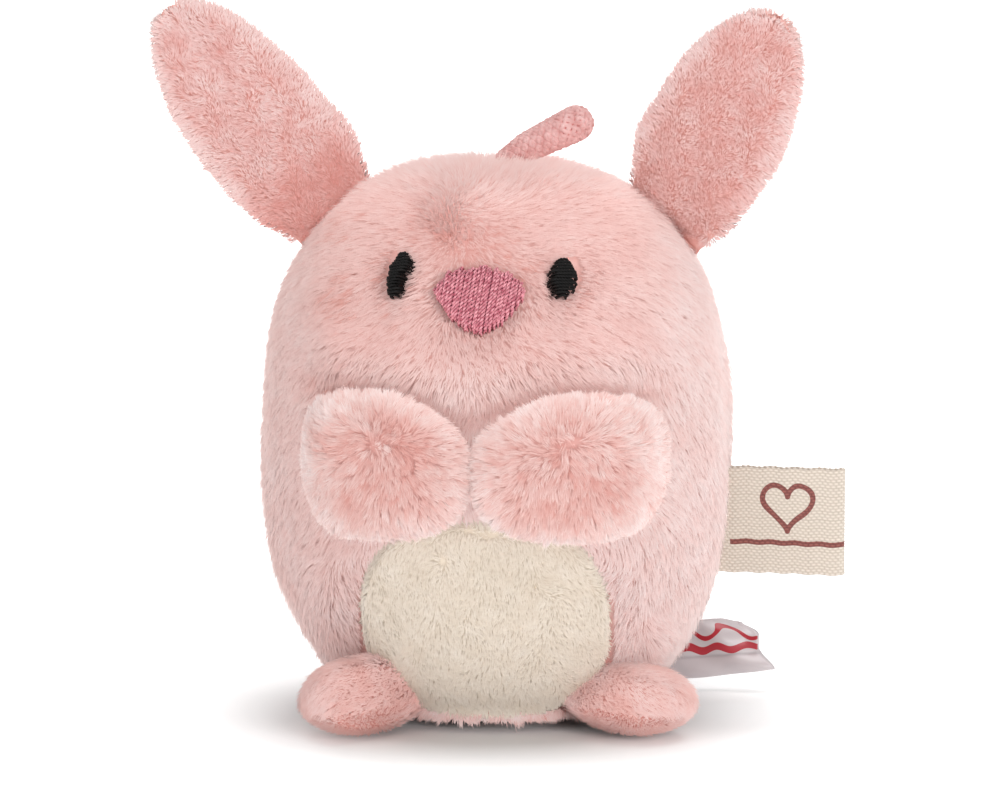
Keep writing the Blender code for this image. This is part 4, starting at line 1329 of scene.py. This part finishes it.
def build_flag():
    """A woven ribbon folded once, with a plain heart over a line woven in brown."""
    step, gap, thick = 0.085, 0.22, 0.34
    fold = gap + thick  # radius of its outer face at the fold
    straight = FLAG_LENGTH - gap - thick
    begin = -2.4  # inside the seam
    half_turn = math.pi * fold
    lengths = np.arange(0, 2 * (straight - begin) + half_turn, step)
    heights = np.linspace(FLAG_LOW, FLAG_HIGH, int((FLAG_HIGH - FLAG_LOW) / step))
    run, z = np.meshgrid(lengths, heights, indexing="ij")
    front = straight - begin
    angle = np.clip((run - front) / fold, 0, math.pi) - math.pi / 2
    returning = np.where(run > front + half_turn, straight - (run - front - half_turn), straight)
    turning = (run >= front) & (run <= front + half_turn)
    x = np.where(run < front, begin + run, returning) + np.where(turning, fold * np.cos(angle), 0)
    y = fold * np.sin(angle)
    out_x, out_y = np.cos(angle) * turning, np.sin(angle)
    across, row = run / 0.54, z / 0.29  # bricks of the weave
    brick = np.abs(np.sin(math.pi * (across + 0.5 * np.floor(row)))) ** 0.6
    brick = brick * np.abs(np.sin(math.pi * row)) ** 0.8
    selvedge = bump(z, FLAG_LOW, 0.45) + bump(z, FLAG_HIGH, 0.45)
    relief = 0.085 * brick + 0.03 * selvedge
    wave = 0.14 * np.sin(z * 0.55 + 1.0) * smooth(x / 8) + 0.25 * smooth((x - 4) / 6) * np.sin((z - 19) * 0.2)
    lower = -0.18 * smooth(x / 10)
    p = vectors(FLAG_X + x + out_x * relief, y + out_y * relief + wave, z + lower + 0.05 * np.sin(x * 2.6))
    sheet = Sheet(p, vectors(out_x, out_y, 0 * out_x).reshape(-1, 3))
    heart_x, heart_z, line_z = 4.7, 21.2, 17.6
    from_heart = heart_distance(x - heart_x, z - heart_z, 2.5)
    from_line = np.where(x > -1, np.abs(z - line_z), 9)
    printed = np.minimum(from_heart, from_line)
    soft_print = np.clip(0.5 + (0.27 - printed) / 0.16, 0, 1) * (run < front + half_turn * 0.5)
    # The shade value paints shade into the gaps between the weave's bricks.
    values = np.stack([soft_print, brick**1.2], -1).reshape(-1, 2)
    label = label_shell("flag_label_weave", sheet, thick * 0.6, FLAG_MATERIAL, values)
    joint = ("flag_label", [FLAG_X - 1.2, 0, 19.7], [FLAG_X + 1.2, 0, 19.7])
    bend(label, joint, "cream_ribbon", "flag_label")


def label_shell(name, sheet, thickness, material, values):
    """A closed ribbon whose colours follow a (print, shade) value at each point."""
    obj = shell(name, sheet, thickness, material)
    both = np.concatenate([values, values])
    for k, key in enumerate(("printed", "shade")):
        attribute = obj.data.attributes.new(key, "FLOAT", "POINT")
        attribute.data.foreach_set("value", both[:, k].astype(np.float32))
    return obj


def build_care():
    """A satin ribbon, folded once and standing on its edge, with plain red stripes."""
    lengths = np.arange(-2.6, CARE_LENGTH + 0.3, 0.11)
    rows = np.linspace(0, 1, 84)
    run, v = np.meshgrid(lengths, rows, indexing="ij")
    t = np.clip(run / CARE_LENGTH, 0, 1)
    flare = smooth(t * 1.2)
    low = 0.9 + 1.4 * t**1.5
    high = 7.0 - 0.35 * smooth((t - 0.8) / 0.2)
    z = low + (high - low) * v
    short = 0.13 * smooth(v * 2.2) + 0.14 * smooth((v - 0.72) / 0.28) ** 2
    x = CARE_X + run * (1 - flare * short)
    band = np.sin(math.pi * np.clip(v / 0.36, 0, 1)) ** 0.8
    arch = np.sin(math.pi * np.clip((v - 0.36) / 0.64, 0, 1))
    y = CARE_Y + 0.07 * run - flare * (1.3 * (1 - v) ** 1.6 + 0.45 * band + 0.55 * arch)
    corner = 1.1 * smooth((t - 0.75) / 0.25) * smooth((v - 0.7) / 0.3)
    y = y + 0.28 * np.sin(v * 5 + run * 0.9) * flare + corner
    back = 0.62 + 0.25 * np.sin(v * 4)
    near, far = vectors(x, y, z), vectors(x - 0.1, y + back, z + 0.05)
    crease = near[-1:] * 0.5 + far[-1:] * 0.5 + [0.28, 0, 0]
    count = len(lengths)
    sides = np.repeat([-1.0, 0, 1.0], np.array([count, 1, count]) * len(rows))
    sheet = Sheet(np.concatenate([near, crease, far[::-1]]), sides[:, None] * [0, 1, 0])
    low_stripe = np.abs(v - 0.50 - 0.045 * np.sin(run * 1.7)) - 0.075
    high_stripe = np.abs(v - 0.80 + 0.11 * np.sin(run * 1.1 + 0.4)) - 0.045
    gap = np.minimum(low_stripe, high_stripe) + 0.2 * (run < 2.6)
    printed = np.zeros((2 * count + 1, len(rows)))
    printed[:count] = np.clip(0.5 - gap / 0.03, 0, 1)
    shade = np.ones_like(printed)
    # Painted shade along the crease between the low band and the arched part, on the near face.
    shade[:count] = 1 - 0.5 * smooth((0.05 - np.abs(v - 0.36)) / 0.05)
    values = np.stack([printed, shade], -1).reshape(-1, 2)
    label = label_shell("care_label_satin", sheet, 0.2, CARE_MATERIAL, values)
    joint = ("care_label", [CARE_X - 1.2, CARE_Y, 4.4], [CARE_X + 1.2, CARE_Y, 4.4])
    bend(label, joint, "satin_ribbon", "care_label")


def build_closing_thread():
    """The ladder stitch down the back seam, drawn into the pile."""
    z = np.linspace(19, 37, 400)
    x = 0.75 * np.clip(np.sin((z - 19) * math.pi / 0.9) * 1.6, -1, 1)
    p = on_front(x, z, -1.15)
    p[:, 1] *= -1
    thread = tubes("closing_seam_stitches", plied(p, 0.06, 0.5), 0.09, CORD_THREAD)
    fix(thread, "pink_cord", "closing_seam_thread")


build_body()
for side in SIGNS:
    build_ear(side)
    build_arm(side)
    build_foot(side)
    build_eye(side)
build_tail()
build_nose()
build_loop()
build_flag()
build_care()
build_closing_thread()


# Camera, light and floor

AZIMUTH, ELEVATION = math.radians(5.5), math.radians(8.5)
DISTANCE = 0.75
VIEW_WIDTH = 0.1  # of the picture, at the object
FLOOR_REACH = 3.0


def build_stage():
    right = Vector((math.cos(AZIMUTH), math.sin(AZIMUTH), 0))
    level = math.cos(ELEVATION)
    back = Vector((math.sin(AZIMUTH) * level, -math.cos(AZIMUTH) * level, math.sin(ELEVATION)))
    up = back.cross(right)
    camera_data = bpy.data.cameras.new("camera")
    camera = place_object("camera", camera_data)
    camera_data.lens = camera_data.sensor_width * DISTANCE / VIEW_WIDTH
    target = right * 0.0003 + up * 0.031
    camera.location = target + back * DISTANCE
    camera.rotation_euler = back.to_track_quat("Z", "Y").to_euler()
    camera_data.clip_start, camera_data.clip_end = 0.01, 20
    bpy.context.scene.camera = camera
    build_floor()
    lamp("key", (0.34, -0.50, 0.26), 0.34, 1.7)
    lamp("fill", (-0.45, -0.38, 0.22), 0.35, 0.74)
    lamp("top", (0.05, 0.10, 0.60), 0.40, 1.5)
    lamp("back", (-0.15, 0.55, 0.30), 0.40, 1.3)
    build_surroundings()


def build_floor():
    """A grey floor that glows white further out, so that it fades into the background. The glow is painted
    light, and where it is missing round the toy it leaves a painted shadow.
    """
    mesh = bpy.data.meshes.new("floor")
    corners = [(FLOOR_REACH * x, FLOOR_REACH * y, 0) for x, y in ((-1, -1), (1, -1), (1, 1), (-1, 1))]
    mesh.from_pydata(corners, [], [(0, 1, 2, 3)])
    floor = place_object("floor", mesh)
    material, nodes, links, shader = new_material("floor")
    shader.inputs["Base Color"].default_value = (0.72, 0.72, 0.72, 1)
    shader.inputs["Roughness"].default_value = 0.9
    shader.inputs["Emission Color"].default_value = (1, 1, 1, 1)
    place = nodes.new("ShaderNodeTexCoord")
    away = nodes.new("ShaderNodeVectorMath")
    away.operation = "LENGTH"
    links.new(place.outputs["Object"], away.inputs[0])
    glow = nodes.new("ShaderNodeMapRange")
    glow.inputs["From Max"].default_value = 0.45
    links.new(away.outputs["Value"], glow.inputs["Value"])
    # Painted shadow: no glow within about 18 mm of the middle; painted light rising by about 32 mm and on
    # outwards.
    painted_shadow_and_glow = ramp_node(nodes, [(0.040, "000000"), (0.070, "b4b4b4"), (1.0, "ffffff")])
    links.new(glow.outputs["Result"], painted_shadow_and_glow.inputs["Fac"])
    links.new(painted_shadow_and_glow.outputs["Color"], shader.inputs["Emission Strength"])
    mesh.materials.append(material)


def build_surroundings():
    """White to the camera, and dimmer as a light."""
    world = bpy.data.worlds.new("studio")
    bpy.context.scene.world = world
    world.use_nodes = True
    nodes, links = world.node_tree.nodes, world.node_tree.links
    background = nodes["Background"]
    path = nodes.new("ShaderNodeLightPath")
    level = nodes.new("ShaderNodeMapRange")
    level.inputs["To Min"].default_value, level.inputs["To Max"].default_value = 0.42, 1.0
    links.new(path.outputs["Is Camera Ray"], level.inputs["Value"])
    links.new(level.outputs["Result"], background.inputs["Strength"])
    background.inputs["Color"].default_value = (1, 1, 1, 1)
    bpy.context.scene.view_settings.view_transform = "Standard"


def lamp(name, place, size, power):
    data = bpy.data.lights.new(name, "AREA")
    data.shape = "DISK"
    data.size = size
    data.energy = power
    obj = place_object(name, data)
    obj.location = place
    aim = Vector((0, 0, 0.03)) - Vector(place)
    obj.rotation_euler = aim.to_track_quat("-Z", "Y").to_euler()


build_stage()
